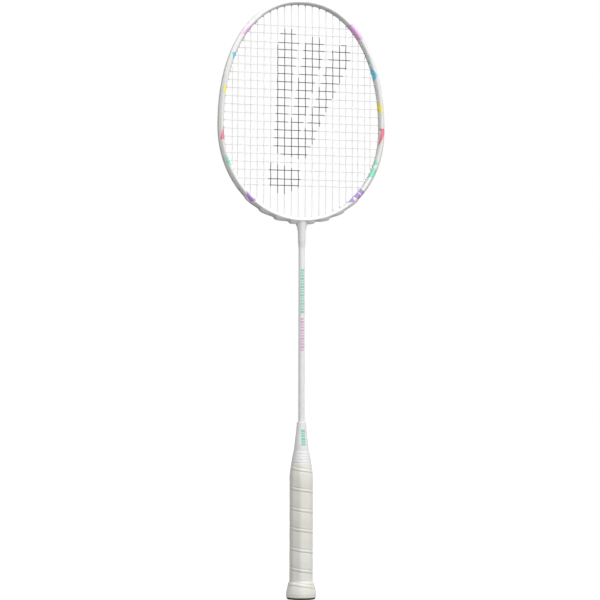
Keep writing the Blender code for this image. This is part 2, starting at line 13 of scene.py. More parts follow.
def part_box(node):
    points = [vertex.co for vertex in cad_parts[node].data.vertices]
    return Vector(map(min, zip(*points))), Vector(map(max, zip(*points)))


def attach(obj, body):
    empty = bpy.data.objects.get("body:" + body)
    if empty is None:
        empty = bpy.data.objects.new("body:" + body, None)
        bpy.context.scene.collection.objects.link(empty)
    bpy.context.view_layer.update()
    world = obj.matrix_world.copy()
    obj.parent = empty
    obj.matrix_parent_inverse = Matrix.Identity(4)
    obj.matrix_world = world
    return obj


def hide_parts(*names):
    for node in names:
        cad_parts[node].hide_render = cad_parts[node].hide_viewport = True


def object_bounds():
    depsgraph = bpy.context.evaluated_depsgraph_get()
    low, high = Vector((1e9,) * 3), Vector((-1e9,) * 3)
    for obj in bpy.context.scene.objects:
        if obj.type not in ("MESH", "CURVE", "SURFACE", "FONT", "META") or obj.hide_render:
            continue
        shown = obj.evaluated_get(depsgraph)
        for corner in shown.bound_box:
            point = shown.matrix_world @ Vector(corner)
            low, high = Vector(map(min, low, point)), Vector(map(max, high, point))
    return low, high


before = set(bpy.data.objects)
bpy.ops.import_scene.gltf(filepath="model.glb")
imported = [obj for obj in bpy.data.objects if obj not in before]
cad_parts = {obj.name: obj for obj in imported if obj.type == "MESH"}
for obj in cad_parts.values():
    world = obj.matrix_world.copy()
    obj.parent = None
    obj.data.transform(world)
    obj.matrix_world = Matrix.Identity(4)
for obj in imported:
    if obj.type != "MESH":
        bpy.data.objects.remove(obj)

MM = 0.001
BODY = "root"
CAD_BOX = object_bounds()


def node_box(name):
    """Lowest and highest corner of a CAD node, in millimetres."""
    low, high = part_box(name)
    return np.array(low) / MM, np.array(high) / MM


def srgb(red, green, blue):
    """Linear colour from 8-bit display values."""
    shares = [value / 255.0 for value in (red, green, blue)]
    return tuple(c / 12.92 if c <= 0.04045 else ((c + 0.055) / 1.055) ** 2.4 for c in shares)


# Hoop outline, as the CAD has it: the width, the depth and the crown come from the frame.
HOOP_HALF_WIDTH, HALF_DEPTH, CROWN_Z = (float(value) for value in node_box("head_frame")[1])
HOOP_WIDEST_Z = 529.0
HOOP_BOTTOM_Z = 422.0
CROWN_EXPONENT = 2.18
THROAT_EXPONENT = 2.03
OUTLINE_STEPS = 7200
NORMAL_REACH = 0.5
STATION_PITCH = 1.0
FINE_PITCH = 0.5
FINE_REACH = 75.0

# Hoop section, with the groove that the grommets and strings lie in. Its outer half slopes from
# the front face to the lip of the groove, and the lips rise in humps on both sides of the shaft.
SECTION_WIDTH = 6.4
HALF_WIDTH = 0.5 * SECTION_WIDTH
SECTION_EXPONENT = 2.2
SECTION_ARC_POINTS = 34
GROOVE_DEPTH = 1.9
GROOVE_END_X = 2.6
GROOVE_PLUG_LENGTH = 12.0
LIP_ANGLE = math.radians(23.6)
LIP_REACH = 3.0
LIP_DEPTH = 2.55
LIP_SHARE = 0.87
SLOPE_START = 0.35
SLOPE_SPAN = math.hypot(1.0, SLOPE_START) - SLOPE_START
HUMP_HEIGHTS = (2.1, 1.9, 1.5, 1.0)
HUMP_LEAD = 4.0
HUMP_FALL = 1.6
HUMP_BLUR = 0.35

# Moulded socket for the shaft, and the pocket for the T-piece inside it.
SOCKET_REACH_X = 11.0
SOCKET_REACH_Y = 5.05
SOCKET_SINK = 0.12
SOCKET_LEAD = 2.2
SOCKET_SPREAD = 0.62
SOCKET_RISE = 11.0
SOCKET_ROWS = 40
SOCKET_MOUTH_Z = 402.0
SOCKET_RADIUS = 4.2
SOCKET_TAPER = ((400.0, 4.1), (398.0, 3.86), (396.2, 3.66), (394.8, 3.57), (394.4, 3.53))
RIM_STEP = 0.12
T_ARM_THICKNESS = 2.4
T_STEM_RADIUS = 1.7

# Strings: their plan, as the CAD has it, and their weave, bends and braid.
STRING_RADIUS = 0.35
STRING_SIDES = 8
BED_OFFSET = 0.5
WEAVE = 0.43
CELL_STEPS = 8
BEND_RADIUS = 0.9
HOLE_WAY = (6.5, 4.5, 2.6)
MAIN_COUNT = 22
MAIN_PITCH = 8.28
MAIN_CROWDING = 4.3
CROSS_COUNT = 21
CROSS_TOP_Z = 644.2
CROSS_PITCH = 9.065
HOLE_SPACING_MIN = 3.3
BED_MARGIN = 0.9
GROOVE_MARGIN = 0.05
LINK_STEP = 1.5
TAIL_LENGTH = 2.8
FIRST_TAIL_WAY = 1.0
LAST_TAIL_WAY = -1.0
INK_THICKNESS = 0.08
BRAID_STRANDS = 4.0
BRAID_PITCH = 1.1

# Stencilled shuttlecock: its foot, lean, cork and skirt of feathers.
COCK_FOOT_X = -26.0
COCK_FOOT_Z = 455.0
COCK_LEAN = math.radians(14.0)
CORK_RADIUS = 20.0
CORK_TOP = 31.0
SKIRT_LOW = 43.0
SKIRT_HIGH = 184.0
SKIRT_LOW_HALF = 19.0
SKIRT_HIGH_HALF = 52.0
SKIRT_JOINED = 0.22
FEATHERS = 3.0
FEATHER_TIP = 22.0
FEATHER_GAP = 0.22

# Grommets.
GAP = 0.3
HOLE_RADIUS = 1.22
BARREL_RADIUS = 1.15
BORE_RADIUS = 0.6
BARREL_STAND_OUT = 0.8
STRIP_THICKNESS = 0.5
STRIP_HALF_WIDTH = 1.7
STRIP_OVERRUN = 1.25
STRIP_SIZES = (("shoulder", 10), ("upper_side", 8), ("lower_side", 8), ("hip", 7), ("throat", 5))
CROWN_STRIP_HALF = 5

# Shaft and cone, and the bars printed on them. Outlines are (radius, z).
SHAFT_RADIUS = float(node_box("shaft")[1][0])
SHAFT_BORE = 2.0
SHAFT_EDGE = 0.3
CONE_TIP_RADIUS = 5.0
CONE_OUTLINE = ((8.35, 166.9), (7.65, 173.5), (6.9, 180.0), (6.0, 187.0), (5.35, 193.0), (5.05, 197.0))
CONE_HIDDEN = ((10.4, 142.0), (9.7, 149.0), (8.95, 152.5), (8.9, 160.5), (7.95, 166.0))
SHAFT_MINT_BARS = {"top": 370.0, "bottom": 320.0, "half": 2.2, "lengths": (2.6, 1.5, 2.0), "gap": 1.1}
SHAFT_PINK_BARS = {"top": 315.0, "bottom": 278.0, "half": 2.2, "lengths": (2.0, 2.6, 1.5), "gap": 1.1}
CONE_BARS = {"top": 190.0, "bottom": 169.5, "half": 2.6, "lengths": (3.2, 1.8, 2.4), "gap": 0.6}
BAR_ROUNDING = 0.35
BAR_COLUMNS = 17
BAR_SINK = 0.05
BAR_LIFT = 0.03

# Grip: outline as (half the width over the flats, z), and how sharp the octagon is at each height.
GRIP_COLUMNS = 160
GRIP_ROWS = 430
GRIP_WALL = 1.3
GRIP_RIM = 0.45
GRIP_OUTLINE = ((16.55, 1.8), (17.1, 3.0), (17.1, 5.5), (16.55, 9.0), (15.3, 14.0), (14.35, 17.4),
                (13.9, 18.6), (13.1, 20.2), (12.9, 23.0), (12.9, 40.0), (12.9, 80.0), (12.9, 120.0),
                (12.85, 136.0), (12.45, 144.0), (11.75, 149.0), (11.2, 152.6), (10.3, 153.4), (10.1, 155.0))
GRIP_SHARPNESS = ((0.0, 8.0, 14.0, 20.0, 28.0, 130.0, 140.0, 148.0, 156.0),
                  (9.0, 9.0, 11.0, 15.0, 20.0, 20.0, 17.0, 12.0, 9.0))
WRAP_START_Z = 19.0
WRAP_START_FADE = 5.0
WRAP_END_Z = 151.0
WRAP_END_FADE = 4.0
SEAM_PITCH = 22.5
SEAM_START_Z = 144.5
SEAM_SLACK = 2.05
SEAM_BEAD = 0.22
SEAM_FURROW = 0.22
SEAM_SWELL = 0.10
SEAM_HALF = 2.0
BEAD_WIDTH = 1.35
FURROW_WIDTH = 0.5
FIRST_TURN_Z = 15.6
FIRST_TURN_LEAN = 2.3
HEM_Z = 4.4
HEM_DEPTH = 0.28
HEM_WIDTH = 0.5

# Finishing tape, butt cap and disc. The lines are (radius, z).
TAPE_LINE = ((11.3, 153.1), (10.8, 156.0), (10.3, 158.9), (9.65, 162.1), (8.8, 166.4))
TAPE_WALL = 0.55
TAPE_PITCH = 3.3
TAPE_STEP = 0.22
TAPE_ROWS = 120
TAPE_EDGE = 0.4
CAP_LIP = ((14.3, 0.0), (15.0, 0.05), (15.6, 0.22), (15.95, 0.5), (16.15, 0.9), (16.15, 1.3), (15.95, 1.6))
CAP_SKIRT = ((15.3, 1.65), (15.3, 6.0), (14.1, 11.5), (11.9, 17.2), (11.05, 19.0), (11.05, 20.2))
CAP_SOCKET_RADIUS = 10.6
DISC_RADIUS = float(node_box("butt_disc")[1][0])
DISC_THICKNESS = float(node_box("butt_disc")[1][2])

# Colours.
WHITE = (0.83, 0.83, 0.82)
HOOP_WHITE = (0.75, 0.75, 0.735)
PINK = srgb(228, 178, 224)
CYAN = srgb(112, 202, 226)
YELLOW = srgb(246, 232, 104)
RED = srgb(234, 124, 148)
MINT = srgb(132, 224, 192)
PURPLE = srgb(174, 138, 210)
PRINT_MINT = srgb(146, 212, 192)
PRINT_PINK = srgb(222, 178, 216)
STRING_COLOUR = (0.72, 0.72, 0.72)
INK_COLOUR = (0.012, 0.012, 0.013)
GROMMET_COLOUR = (0.58, 0.58, 0.575)
GRIP_COLOUR = (0.80, 0.80, 0.75)
GRIP_SHADE = (0.765, 0.745, 0.675)
# Painted shade laid into the fine furrows beside each seam of the wrap.
GRIP_FURROW_SHADE = (0.47, 0.43, 0.36)
TAPE_COLOUR = (0.79, 0.785, 0.80)
CAP_COLOUR = (0.016, 0.016, 0.018)
STEEL = (0.58, 0.58, 0.59)
ALUMINIUM = (0.74, 0.74, 0.75)
WOOD_LIGHT = (0.66, 0.48, 0.30)
WOOD_DARK = (0.46, 0.29, 0.16)

# Each patch of paint: side of the hoop, then its corners as (z, degrees round the section from the
# middle of the front face, towards the outer face when positive).
PATCHES = {
    "pink": (PINK, [(1, ((650, -88), (648, 55), (631, 55), (634, -88))),
                    (-1, ((631, 45), (632, -55), (650, -55)))]),
    "cyan": (CYAN, [(1, ((613, -88), (608, -50), (605, -88))),
                    (1, ((604.5, -88), (592, 30), (586, -88))),
                    (-1, ((610, 36), (612.5, -70), (601.5, -35)))]),
    "yellow": (YELLOW, [(1, ((564, -88), (554, 38), (547, -88))),
                        (-1, ((572, 34), (573.5, -65), (561.5, -30)))]),
    "red": (RED, [(1, ((531.5, -85), (531.5, 55), (526, 55), (528.5, -30))),
                  (1, ((528.5, -30), (526, 55), (509, -80), (520, -62))),
                  (-1, ((531, -50), (513.5, 48), (512, -78)))]),
    "mint": (MINT, [(1, ((496, -45), (490, 5), (488, -88))),
                    (1, ((485.5, -60), (485, 28), (476, 22), (473.5, -88))),
                    (-1, ((497, -8), (488, 28), (479, -80), (485, -50)))]),
    "purple": (PURPLE, [(1, ((460.4, -70), (459.5, 45), (456.2, 45), (456.8, -70))),
                        (1, ((455.9, -75), (455.2, 45), (451.6, 45), (450.6, -75))),
                        (1, ((449.8, -75), (448.0, 15), (443.4, -60))),
                        (-1, ((457, -55), (443.5, -60), (447, 45), (452, 30)))]),
}
PATCH_STEPS = 15
PATCH_LIFT = 0.035
PATCH_SINK = 0.06

# Camera in metres and degrees. Each light: name, azimuth, elevation, distance, size and watts.
CAMERA_AZIMUTH = -20.0
CAMERA_ELEVATION = -1.505
CAMERA_ROLL = 0.106
CAMERA_DISTANCE = 2.6984
CAMERA_TARGET = (-0.0019, 0.0, 0.33537)
CAMERA_LENS = 143.94
LIGHT_TARGET = (0.0, 0.0, 0.36)
LIGHTS = (("key", 30.0, 45.0, 2.2, 1.6, 48.0), ("left", -62.0, 44.0, 2.2, 1.6, 18.0),
          ("front", -14.0, 20.0, 2.6, 1.2, 4.0), ("back", 150.0, 30.0, 2.4, 1.6, 30.0))
WORLD_LIGHT = (0.305, 0.305, 0.30)
FLOOR_HALF = 6000.0
# Near the racket the floor's glow is turned down to this share, a painted contact shadow.
FLOOR_PAINTED_SHADOW_GLOW = 0.85
FLOOR_SHADE = (0.28, 0.28, 0.28)

ROUND_STEPS = 96
SHARP_ANGLE = 38.0
SOFT_ANGLE = 70.0
MERGE_DISTANCE = 1e-6


# ---- mesh helpers

def full_turn(steps):
    """Evenly spaced angles round one turn."""
    return np.linspace(0.0, 2.0 * math.pi, steps, endpoint=False)


def ramp(distance, length):
    """From 0 at no distance to 1 at the given length and beyond."""
    return np.clip(distance / length, 0.0, 1.0)


def shade(mesh, angle=SHARP_ANGLE):
    mesh.shade_smooth()
    mesh.set_sharp_from_angle(angle=math.radians(angle))


def mesh_object(name, points, faces, material, angle=SHARP_ANGLE):
    """Object from points in millimetres and faces that index them."""
    mesh = bpy.data.meshes.new(name)
    mesh.from_pydata((np.asarray(points).reshape(-1, 3) * MM).tolist(), [], faces)
    mesh.validate()
    shade(mesh, angle)
    if material is not None:
        mesh.materials.append(material)
    obj = bpy.data.objects.new(name, mesh)
    bpy.context.scene.collection.objects.link(obj)
    return obj


def grid_faces(rows, columns, close_rows=False, close_columns=True, offset=0):
    """Quads over a grid of points, rows along the run and columns round each ring."""
    faces = []
    for i in range(rows if close_rows else rows - 1):
        low, high = offset + i * columns, offset + ((i + 1) % rows) * columns
        for j in range(columns if close_columns else columns - 1):
            k = (j + 1) % columns
            faces.append((low + j, low + k, high + k, high + j))
    return faces


def capped_faces(rows, columns, offset=0):
    """Walls over a stack of rings, with a face over each end."""
    last = offset + (rows - 1) * columns
    ends = [tuple(range(offset, offset + columns))[::-1], tuple(range(last, last + columns))]
    return grid_faces(rows, columns, offset=offset) + ends


def slab_faces(rows, columns, offset):
    """Faces of a thin slab between two grids of points, the lower one first."""
    count, right, top = rows * columns, columns - 1, rows - 1
    under = grid_faces(rows, columns, close_columns=False, offset=offset)
    over = [tuple(i + count for i in face)[::-1] for face in under]
    rim = list(range(right)) + [i * columns + right for i in range(top)]
    rim += [top * columns + i for i in range(right, 0, -1)] + [i * columns for i in range(top, 0, -1)]
    rim = [i + offset for i in rim]
    return under + over + [(a + count, b + count, b, a) for a, b in zip(rim, rim[1:] + rim[:1])]


def face_out(obj):
    """Make the faces of a closed mesh point out."""
    points = np.array([v.co for v in obj.data.vertices])
    obj.data.calc_loop_triangles()
    corners = np.array([t.vertices for t in obj.data.loop_triangles])
    a, b, c = (points[corners[:, i]] for i in range(3))
    if float(np.einsum("ij,ij->i", a, np.cross(b, c)).sum()) < 0.0:
        obj.data.flip_normals()
    return obj


def skinned(name, rings, material=None, closed=False, angle=SHARP_ANGLE):
    """Skin an array of rings (rows, columns, 3), capped at both ends unless it is closed."""
    rows, columns = rings.shape[:2]
    faces = grid_faces(rows, columns, close_rows=True) if closed else capped_faces(rows, columns)
    return face_out(mesh_object(name, rings, faces, material, angle))


def polar_rings(radius, turns, levels):
    """Points about the Z axis, from radii, angles and heights that broadcast together."""
    return np.stack(np.broadcast_arrays(radius * np.cos(turns), radius * np.sin(turns), levels), axis=-1)


def turned(name, profile, material):
    """Spin a closed profile of (radius, z) about Z; points on the axis meet there."""
    profile = np.asarray(profile, float)
    rings = polar_rings(profile[:, :1], full_turn(ROUND_STEPS), profile[:, 1:])
    obj = mesh_object(name, rings, grid_faces(*rings.shape[:2], close_rows=True), material)
    merge_points(obj)
    return face_out(obj)


def merge_points(obj):
    modifier = obj.modifiers.new("merge", "WELD")
    modifier.merge_threshold = MERGE_DISTANCE
    settle(obj)


def settle(obj):
    """Replace an object's mesh with what its modifiers make of it."""
    bpy.context.view_layer.update()
    evaluated = obj.evaluated_get(bpy.context.evaluated_depsgraph_get())
    mesh = bpy.data.meshes.new_from_object(evaluated)
    obj.modifiers.clear()
    old = obj.data
    obj.data = mesh
    bpy.data.meshes.remove(old)
    shade(mesh)


def cut(obj, cutters, operation="DIFFERENCE"):
    """Boolean with each cutter in turn, after which the cutters are removed."""
    for cutter in cutters:
        modifier = obj.modifiers.new("cut_" + cutter.name, "BOOLEAN")
        modifier.operation = operation
        modifier.object = cutter
        modifier.solver = "MANIFOLD"
    settle(obj)
    for cutter in cutters:
        bpy.data.objects.remove(cutter)


def stacks(name, pieces, sides):
    """One mesh of closed round pieces, each made of centres along its axis and their radii."""
    turns = full_turn(sides)
    points, faces = [], []
    for centres, radii in pieces:
        axis = centres[-1] - centres[0]
        axis = axis / np.linalg.norm(axis)
        across = np.cross(axis, (0.0, 1.0, 0.0))
        ring = np.outer(np.cos(turns), across) + np.outer(np.sin(turns), np.cross(axis, across))
        faces += capped_faces(len(centres), sides, len(points))
        for centre, radius in zip(centres, radii):
            points += (centre + radius * ring).tolist()
    return face_out(mesh_object(name, points, faces, None))


def upright_rod(name, low, high, radius, sides):
    """Round cutter on the Z axis between two heights."""
    centres = np.array([(0.0, 0.0, low), (0.0, 0.0, high)])
    return stacks(name, [(centres, (radius, radius))], sides)


def tube(name, points, radii, sides, material):
    """Round tube along points, with a radius for each."""
    tangents = np.gradient(points, axis=0)
    tangents /= np.linalg.norm(tangents, axis=1)[:, None]
    across = np.cross(tangents[0], (0.0, 1.0, 0.0))
    turns = full_turn(sides)
    rings = []
    for point, tangent, radius in zip(points, tangents, radii):
        across = across - tangent * (across @ tangent)
        across = across / np.linalg.norm(across)
        up = np.cross(tangent, across)
        rings.append(point + radius * (np.outer(np.cos(turns), across) + np.outer(np.sin(turns), up)))
    obj = skinned(name, np.array(rings), material, angle=60.0)
    along = np.concatenate(([0.0], np.cumsum(np.linalg.norm(np.diff(points, axis=0), axis=1))))
    add_run_map(obj.data, along, sides)
    return obj


def add_run_map(mesh, along, sides):
    """UV map of a tube: u goes once round it and v is the length along it in millimetres."""
    layer = mesh.uv_layers.new(name="run")
    for face in mesh.polygons:
        columns = [mesh.loops[i].vertex_index % sides for i in face.loop_indices]
        wraps = max(columns) - min(columns) > 1
        for i, column in zip(face.loop_indices, columns):
            turn = column + (sides if wraps and column == 0 else 0)
            layer.data[i].uv = (turn / sides, along[mesh.loops[i].vertex_index // sides])


def add_value(mesh, name, values):
    """A number for each vertex, which a material can read."""
    attribute = mesh.attributes.new(name, "FLOAT", "POINT")
    attribute.data.foreach_set("value", np.asarray(values, np.float32))


def smooth_profile(points, steps):
    """Catmull-Rom curve through (radius, z) points."""
    points = np.asarray(points, float)
    padded = np.vstack([2.0 * points[0] - points[1], points, 2.0 * points[-1] - points[-2]])
    out = []
    for i in range(len(points) - 1):
        a, b, c, d = padded[i:i + 4]
        for t in np.linspace(0.0, 1.0, steps, endpoint=i == len(points) - 2):
            out.append(0.5 * (2.0 * b + (c - a) * t + (2.0 * a - 5.0 * b + 4.0 * c - d) * t * t
                              + (3.0 * b - 3.0 * c + d - a) * t ** 3))
    return np.array(out)


CONE_CURVE = smooth_profile(CONE_OUTLINE, 10)


def finish_piece(obj, slot, *nodes):
    """Every piece rides on the racket's one body."""
    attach(obj, BODY)
    if nodes:
        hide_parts(*nodes)
    return obj


def painted_piece(name, points, faces, material, slot):
    """Thin slabs of paint or print, merged where their corners meet."""
    obj = mesh_object(name, points, faces, material)
    merge_points(obj)
    return finish_piece(face_out(obj), slot)


# ---- hoop geometry

def signed_power(value, exponent):
    return np.sign(value) * np.abs(value) ** exponent


class Hoop:
    """The outer edge by arc length s, from the throat up the right side, over the crown and back."""

    def __init__(self):
        angle = np.linspace(-0.5 * math.pi, 1.5 * math.pi, OUTLINE_STEPS + 1)
        upper = np.sin(angle) >= 0.0
        exponent = 2.0 / np.where(upper, CROWN_EXPONENT, THROAT_EXPONENT)
        height = np.where(upper, CROWN_Z - HOOP_WIDEST_Z, HOOP_WIDEST_Z - HOOP_BOTTOM_Z)
        self.x = HOOP_HALF_WIDTH * signed_power(np.cos(angle), exponent)
        self.z = HOOP_WIDEST_Z + height * signed_power(np.sin(angle), exponent)
        steps = np.hypot(np.diff(self.x), np.diff(self.z))
        self.lengths = np.concatenate(([0.0], np.cumsum(steps)))
        self.total = float(self.lengths[-1])
        self.holes = all_holes(self)
        self.humps = plan_humps(self.holes)

    def position(self, s):
        s = np.mod(s, self.total)
        return np.interp(s, self.lengths, self.x), np.interp(s, self.lengths, self.z)

    def normal(self, s):
        ahead_x, ahead_z = self.position(s + NORMAL_REACH)
        behind_x, behind_z = self.position(s - NORMAL_REACH)
        length = np.hypot(ahead_x - behind_x, ahead_z - behind_z)
        return (ahead_z - behind_z) / length, (behind_x - ahead_x) / length

    def point(self, s, inset, y):
        """Points inset from the outer edge and moved along Y."""
        s = np.asarray(s, float)
        x, z = self.position(s)
        normal_x, normal_z = self.normal(s)
        parts = np.broadcast_arrays(x - normal_x * inset, y, z - normal_z * inset)
        return np.stack(parts, axis=-1)

    def solve(self, low, high, inset, axis, target):
        """Arc length between low and high where the inset edge's x (0) or z (2) meets a target."""
        s = np.linspace(low, high, 3000)
        value = self.point(s, inset, 0.0)[:, axis]
        order = 1 if value[-1] > value[0] else -1
        return float(np.interp(target, value[::order], s[::order]))

    def hump(self, s):
        """Rise of the lips at arc length s: slow away from the shaft, then a quick fall."""
        s = np.mod(s, self.total)
        distance = np.minimum(s, self.total - s)
        rise = np.zeros_like(distance)
        for start, crest, end, height in self.humps:
            up = np.sin(0.5 * math.pi * ramp(distance - start, crest - start))
            down = np.cos(0.5 * math.pi * ramp(distance - crest, end - crest))
            rise = np.maximum(rise, height * np.where(distance < crest, up, down))
        return rise

    def rise(self, s):
        """The same with its corners rounded, as a lacquered moulding has them."""
        return np.mean([self.hump(s + shift) for shift in np.linspace(-HUMP_BLUR, HUMP_BLUR, 7)], axis=0)


def plan_humps(holes):
    """Start, crest, end and height of each hump on one half of the throat."""
    throat = sorted(hole["s"] for hole in holes
                    if hole["string"] == "main" and hole["end"] == 0 and hole["side"] > 0)
    humps = []
    for i, height in enumerate(HUMP_HEIGHTS):
        near, far = throat[2 * i], throat[2 * i + 1]
        humps.append((near - HUMP_LEAD, far - 1.0, far + HUMP_FALL, height))
    return humps


def slope_fall(radial):
    """Share of the fall from the front face to the lip of the groove: a soft start, then straight."""
    reach = np.maximum(radial, 0.0) / LIP_REACH
    return (np.hypot(reach, SLOPE_START) - SLOPE_START) / SLOPE_SPAN


def section_arc(angle):
    """Radial place and depth of the section's skin at an angle from its outer face."""
    power = 2.0 / SECTION_EXPONENT
    radial = HALF_WIDTH * signed_power(np.cos(angle), power)
    inner = HALF_DEPTH * signed_power(np.sin(angle), power)
    outer = np.sign(np.sin(angle)) * (HALF_DEPTH - (HALF_DEPTH - LIP_DEPTH) * slope_fall(radial))
    return radial, np.where(radial > 0.0, outer, inner)


def hump_share(radial):
    """How much of a hump's rise a point takes: most of it at the groove, none on the front face."""
    return LIP_SHARE * slope_fall(radial)


def section_profile():
    """Closed section as (radial, depth, share of the humps' rise), from the middle of the groove floor."""
    floor, edge = HALF_WIDTH - GROOVE_DEPTH, HALF_WIDTH
    groove = [(floor, 0.0, 0.0), (floor, 0.9, 0.0), (floor, 1.7, 0.0), (floor + 0.05, 1.9, 0.0),
              (floor + 0.2, 2.0, 0.05), (floor + 0.6, 2.05, 0.3), (floor + 1.1, 2.1, 0.65),
              (edge - 0.42, 2.15, 0.80), (edge - 0.28, 2.22, 0.84), (edge - 0.22, 2.38, 0.87)]
    radial, depth = section_arc(np.linspace(LIP_ANGLE, math.pi, SECTION_ARC_POINTS))
    side = np.vstack([groove, np.stack([radial, depth, hump_share(radial)], axis=-1)])
    mirrored = side[1:-1][::-1] * (1.0, -1.0, 1.0)
    return np.vstack([side, mirrored])


def hoop_rings(hoop):
    """The section at stations round the hoop, which lie closer together over the humps."""
    fine = np.arange(-FINE_REACH, FINE_REACH, FINE_PITCH)
    count = round((hoop.total - 2.0 * FINE_REACH) / STATION_PITCH)
    coarse = np.linspace(FINE_REACH, hoop.total - FINE_REACH, count, endpoint=False)
    stations = np.concatenate([fine, coarse])[:, None]
    radial, depth, share = section_profile().T
    return hoop.point(stations, HALF_WIDTH - (radial + share * hoop.rise(stations)), depth)


# ---- string plan

def string_depth():
    """Inset of the point where a string leaves its barrel for the bed."""
    return SECTION_WIDTH + BARREL_STAND_OUT + BED_MARGIN


def groove_level():
    """Inset of a string's centre where it lies in the groove, on the grommet strip."""
    return GROOVE_DEPTH - GAP - STRIP_THICKNESS - STRING_RADIUS - GROOVE_MARGIN


def main_x(index):
    """Distance of a main from the middle, 1 being the one beside it; the outer ones close up."""
    return MAIN_PITCH * (index - 0.5) - MAIN_CROWDING * ((index - 1) / 10.0) ** 4


def plan_right_holes(hoop):
    """Every string hole on the right half, in order up from the throat."""
    depth, half = string_depth(), 0.5 * hoop.total
    quarter = hoop.solve(0.0, half, 0.0, 2, HOOP_WIDEST_Z)
    holes = []
    for index in range(1, MAIN_COUNT // 2 + 1):
        for end, low, high in ((0, 0.0, quarter), (1, quarter, half)):
            s = hoop.solve(low, high, depth, 0, main_x(index))
            holes.append({"string": "main", "index": index, "end": end, "s": s})
    for index in range(CROSS_COUNT):
        s = hoop.solve(0.0, half, depth, 2, CROSS_TOP_Z - CROSS_PITCH * index)
        holes.append({"string": "cross", "index": index, "s": s})
    holes.sort(key=lambda hole: hole["s"])
    spread_holes(holes)
    return holes


def spread_holes(holes):
    """Move neighbours apart along the hoop until their barrels have room."""
    for _ in range(200):
        for low, high in zip(holes, holes[1:]):
            lack = HOLE_SPACING_MIN - (high["s"] - low["s"])
            if lack > 0.0:
                low["s"] -= 0.5 * lack
                high["s"] += 0.5 * lack


def all_holes(hoop):
    """Both halves: the left half mirrors the right, and side is +1 on the right."""
    holes = []
    for hole in plan_right_holes(hoop):
        holes.append({**hole, "side": 1})
        holes.append({**hole, "side": -1, "s": hoop.total - hole["s"]})
    return holes


def bed_y(hole):
    return BED_OFFSET if hole["string"] == "main" else -BED_OFFSET


def find_hole(holes, **wanted):
    return next(hole for hole in holes if all(hole.get(key) == value for key, value in wanted.items()))


def main_runs(holes):
    """Throat and crown hole of each main, from left to right."""
    half = MAIN_COUNT // 2
    order = [(-1, i) for i in range(half, 0, -1)] + [(1, i) for i in range(1, half + 1)]
    return [[find_hole(holes, string="main", index=i, side=side, end=end) for end in (0, 1)]
            for side, i in order]


def cross_runs(holes):
    """Left and right hole of each cross, from the top down."""
    return [[find_hole(holes, string="cross", index=i, side=side) for side in (-1, 1)]
            for i in range(CROSS_COUNT)]


def bed_line(hoop, run):
    """The two ends of a run's straight line across the bed."""
    return [hoop.point(hole["s"], string_depth(), bed_y(hole)) for hole in run]


def crossing_share(line, other):
    """How far along a line another line crosses it, seen square to the bed."""
    (ax, _, az), (bx, _, bz) = line
    (cx, _, cz), (dx, _, dz) = other
    run_x, run_z, other_x, other_z = bx - ax, bz - az, dx - cx, dz - cz
    return ((cx - ax) * other_z - (cz - az) * other_x) / (run_x * other_z - run_z * other_x)


def woven_points(line, others, first_side):
    """Points along a line that passes over and under the others in turn."""
    shares = sorted((crossing_share(line, other), i) for i, other in enumerate(others))
    shares = [(share, i) for share, i in shares if 0.0 < share < 1.0]
    stops = [0.0] + [share for share, _ in shares] + [1.0]
    heights = [line[0][1]] + [WEAVE * first_side * (-1) ** i for _, i in shares] + [line[1][1]]
    points = []
    for i in range(len(stops) - 1):
        blend = np.linspace(0.0, 1.0, CELL_STEPS, endpoint=i == len(stops) - 2)
        share = stops[i] + (stops[i + 1] - stops[i]) * blend
        place = line[0] + np.outer(share, line[1] - line[0])
        ease = 0.5 - 0.5 * np.cos(math.pi * blend)
        place[:, 1] = heights[i] + (heights[i + 1] - heights[i]) * ease
        points.append(place)
    return np.vstack(points)


def groove_bend(hoop, hole, towards):
    """The string's way out of a hole and round into the groove, as points from inside to outside."""
    turn = np.linspace(0.0, 0.5 * math.pi, 6)
    s = hole["s"] + towards * BEND_RADIUS * (1.0 - np.cos(turn))
    inset = groove_level() + BEND_RADIUS * (1.0 - np.sin(turn))
    straight = hoop.point(hole["s"], np.array(HOLE_WAY), bed_y(hole))
    return np.vstack([straight, hoop.point(s, inset, bed_y(hole))])


def groove_link(hoop, first, second):
    """Along the groove between two holes, without the bends at its ends."""
    way = math.copysign(1.0, second["s"] - first["s"])
    start, end = first["s"] + way * BEND_RADIUS, second["s"] - way * BEND_RADIUS
    count = max(3, round(abs(end - start) / LINK_STEP))
    return hoop.point(np.linspace(start, end, count)[1:-1], groove_level(), bed_y(first))


def tail(hoop, hole, towards):
    """A tied-off end, from its tip in the groove into the hole."""
    start = hole["s"] + towards * TAIL_LENGTH
    tip = hoop.point(np.linspace(start, hole["s"] + towards * (BEND_RADIUS + 0.3), 4),
                     groove_level(), bed_y(hole))
    return np.vstack([tip, groove_bend(hoop, hole, towards)[::-1]])


def string_route(hoop, runs, lines, others, first_side):
    """One string through all its runs, turning back after each, with both ends tied off."""
    ways = [run if i % 2 == 0 else run[::-1] for i, run in enumerate(runs)]
    parts = [tail(hoop, ways[0][0], FIRST_TAIL_WAY)]
    for i, line in enumerate(lines):
        woven = woven_points(line, others, first_side * (-1) ** i)
        parts.append(woven if i % 2 == 0 else woven[::-1])
        if i < len(lines) - 1:
            leaving, entering = ways[i][1], ways[i + 1][0]
            way = math.copysign(1.0, entering["s"] - leaving["s"])
            parts.append(groove_bend(hoop, leaving, way))
            parts.append(groove_link(hoop, leaving, entering))
            parts.append(groove_bend(hoop, entering, -way)[::-1])
    parts.append(tail(hoop, ways[-1][1], LAST_TAIL_WAY)[::-1])
    return np.vstack(parts)


# ---- materials

def rgba(colour, gain=1.0):
    return (*(min(1.0, c * gain) for c in colour), 1.0)


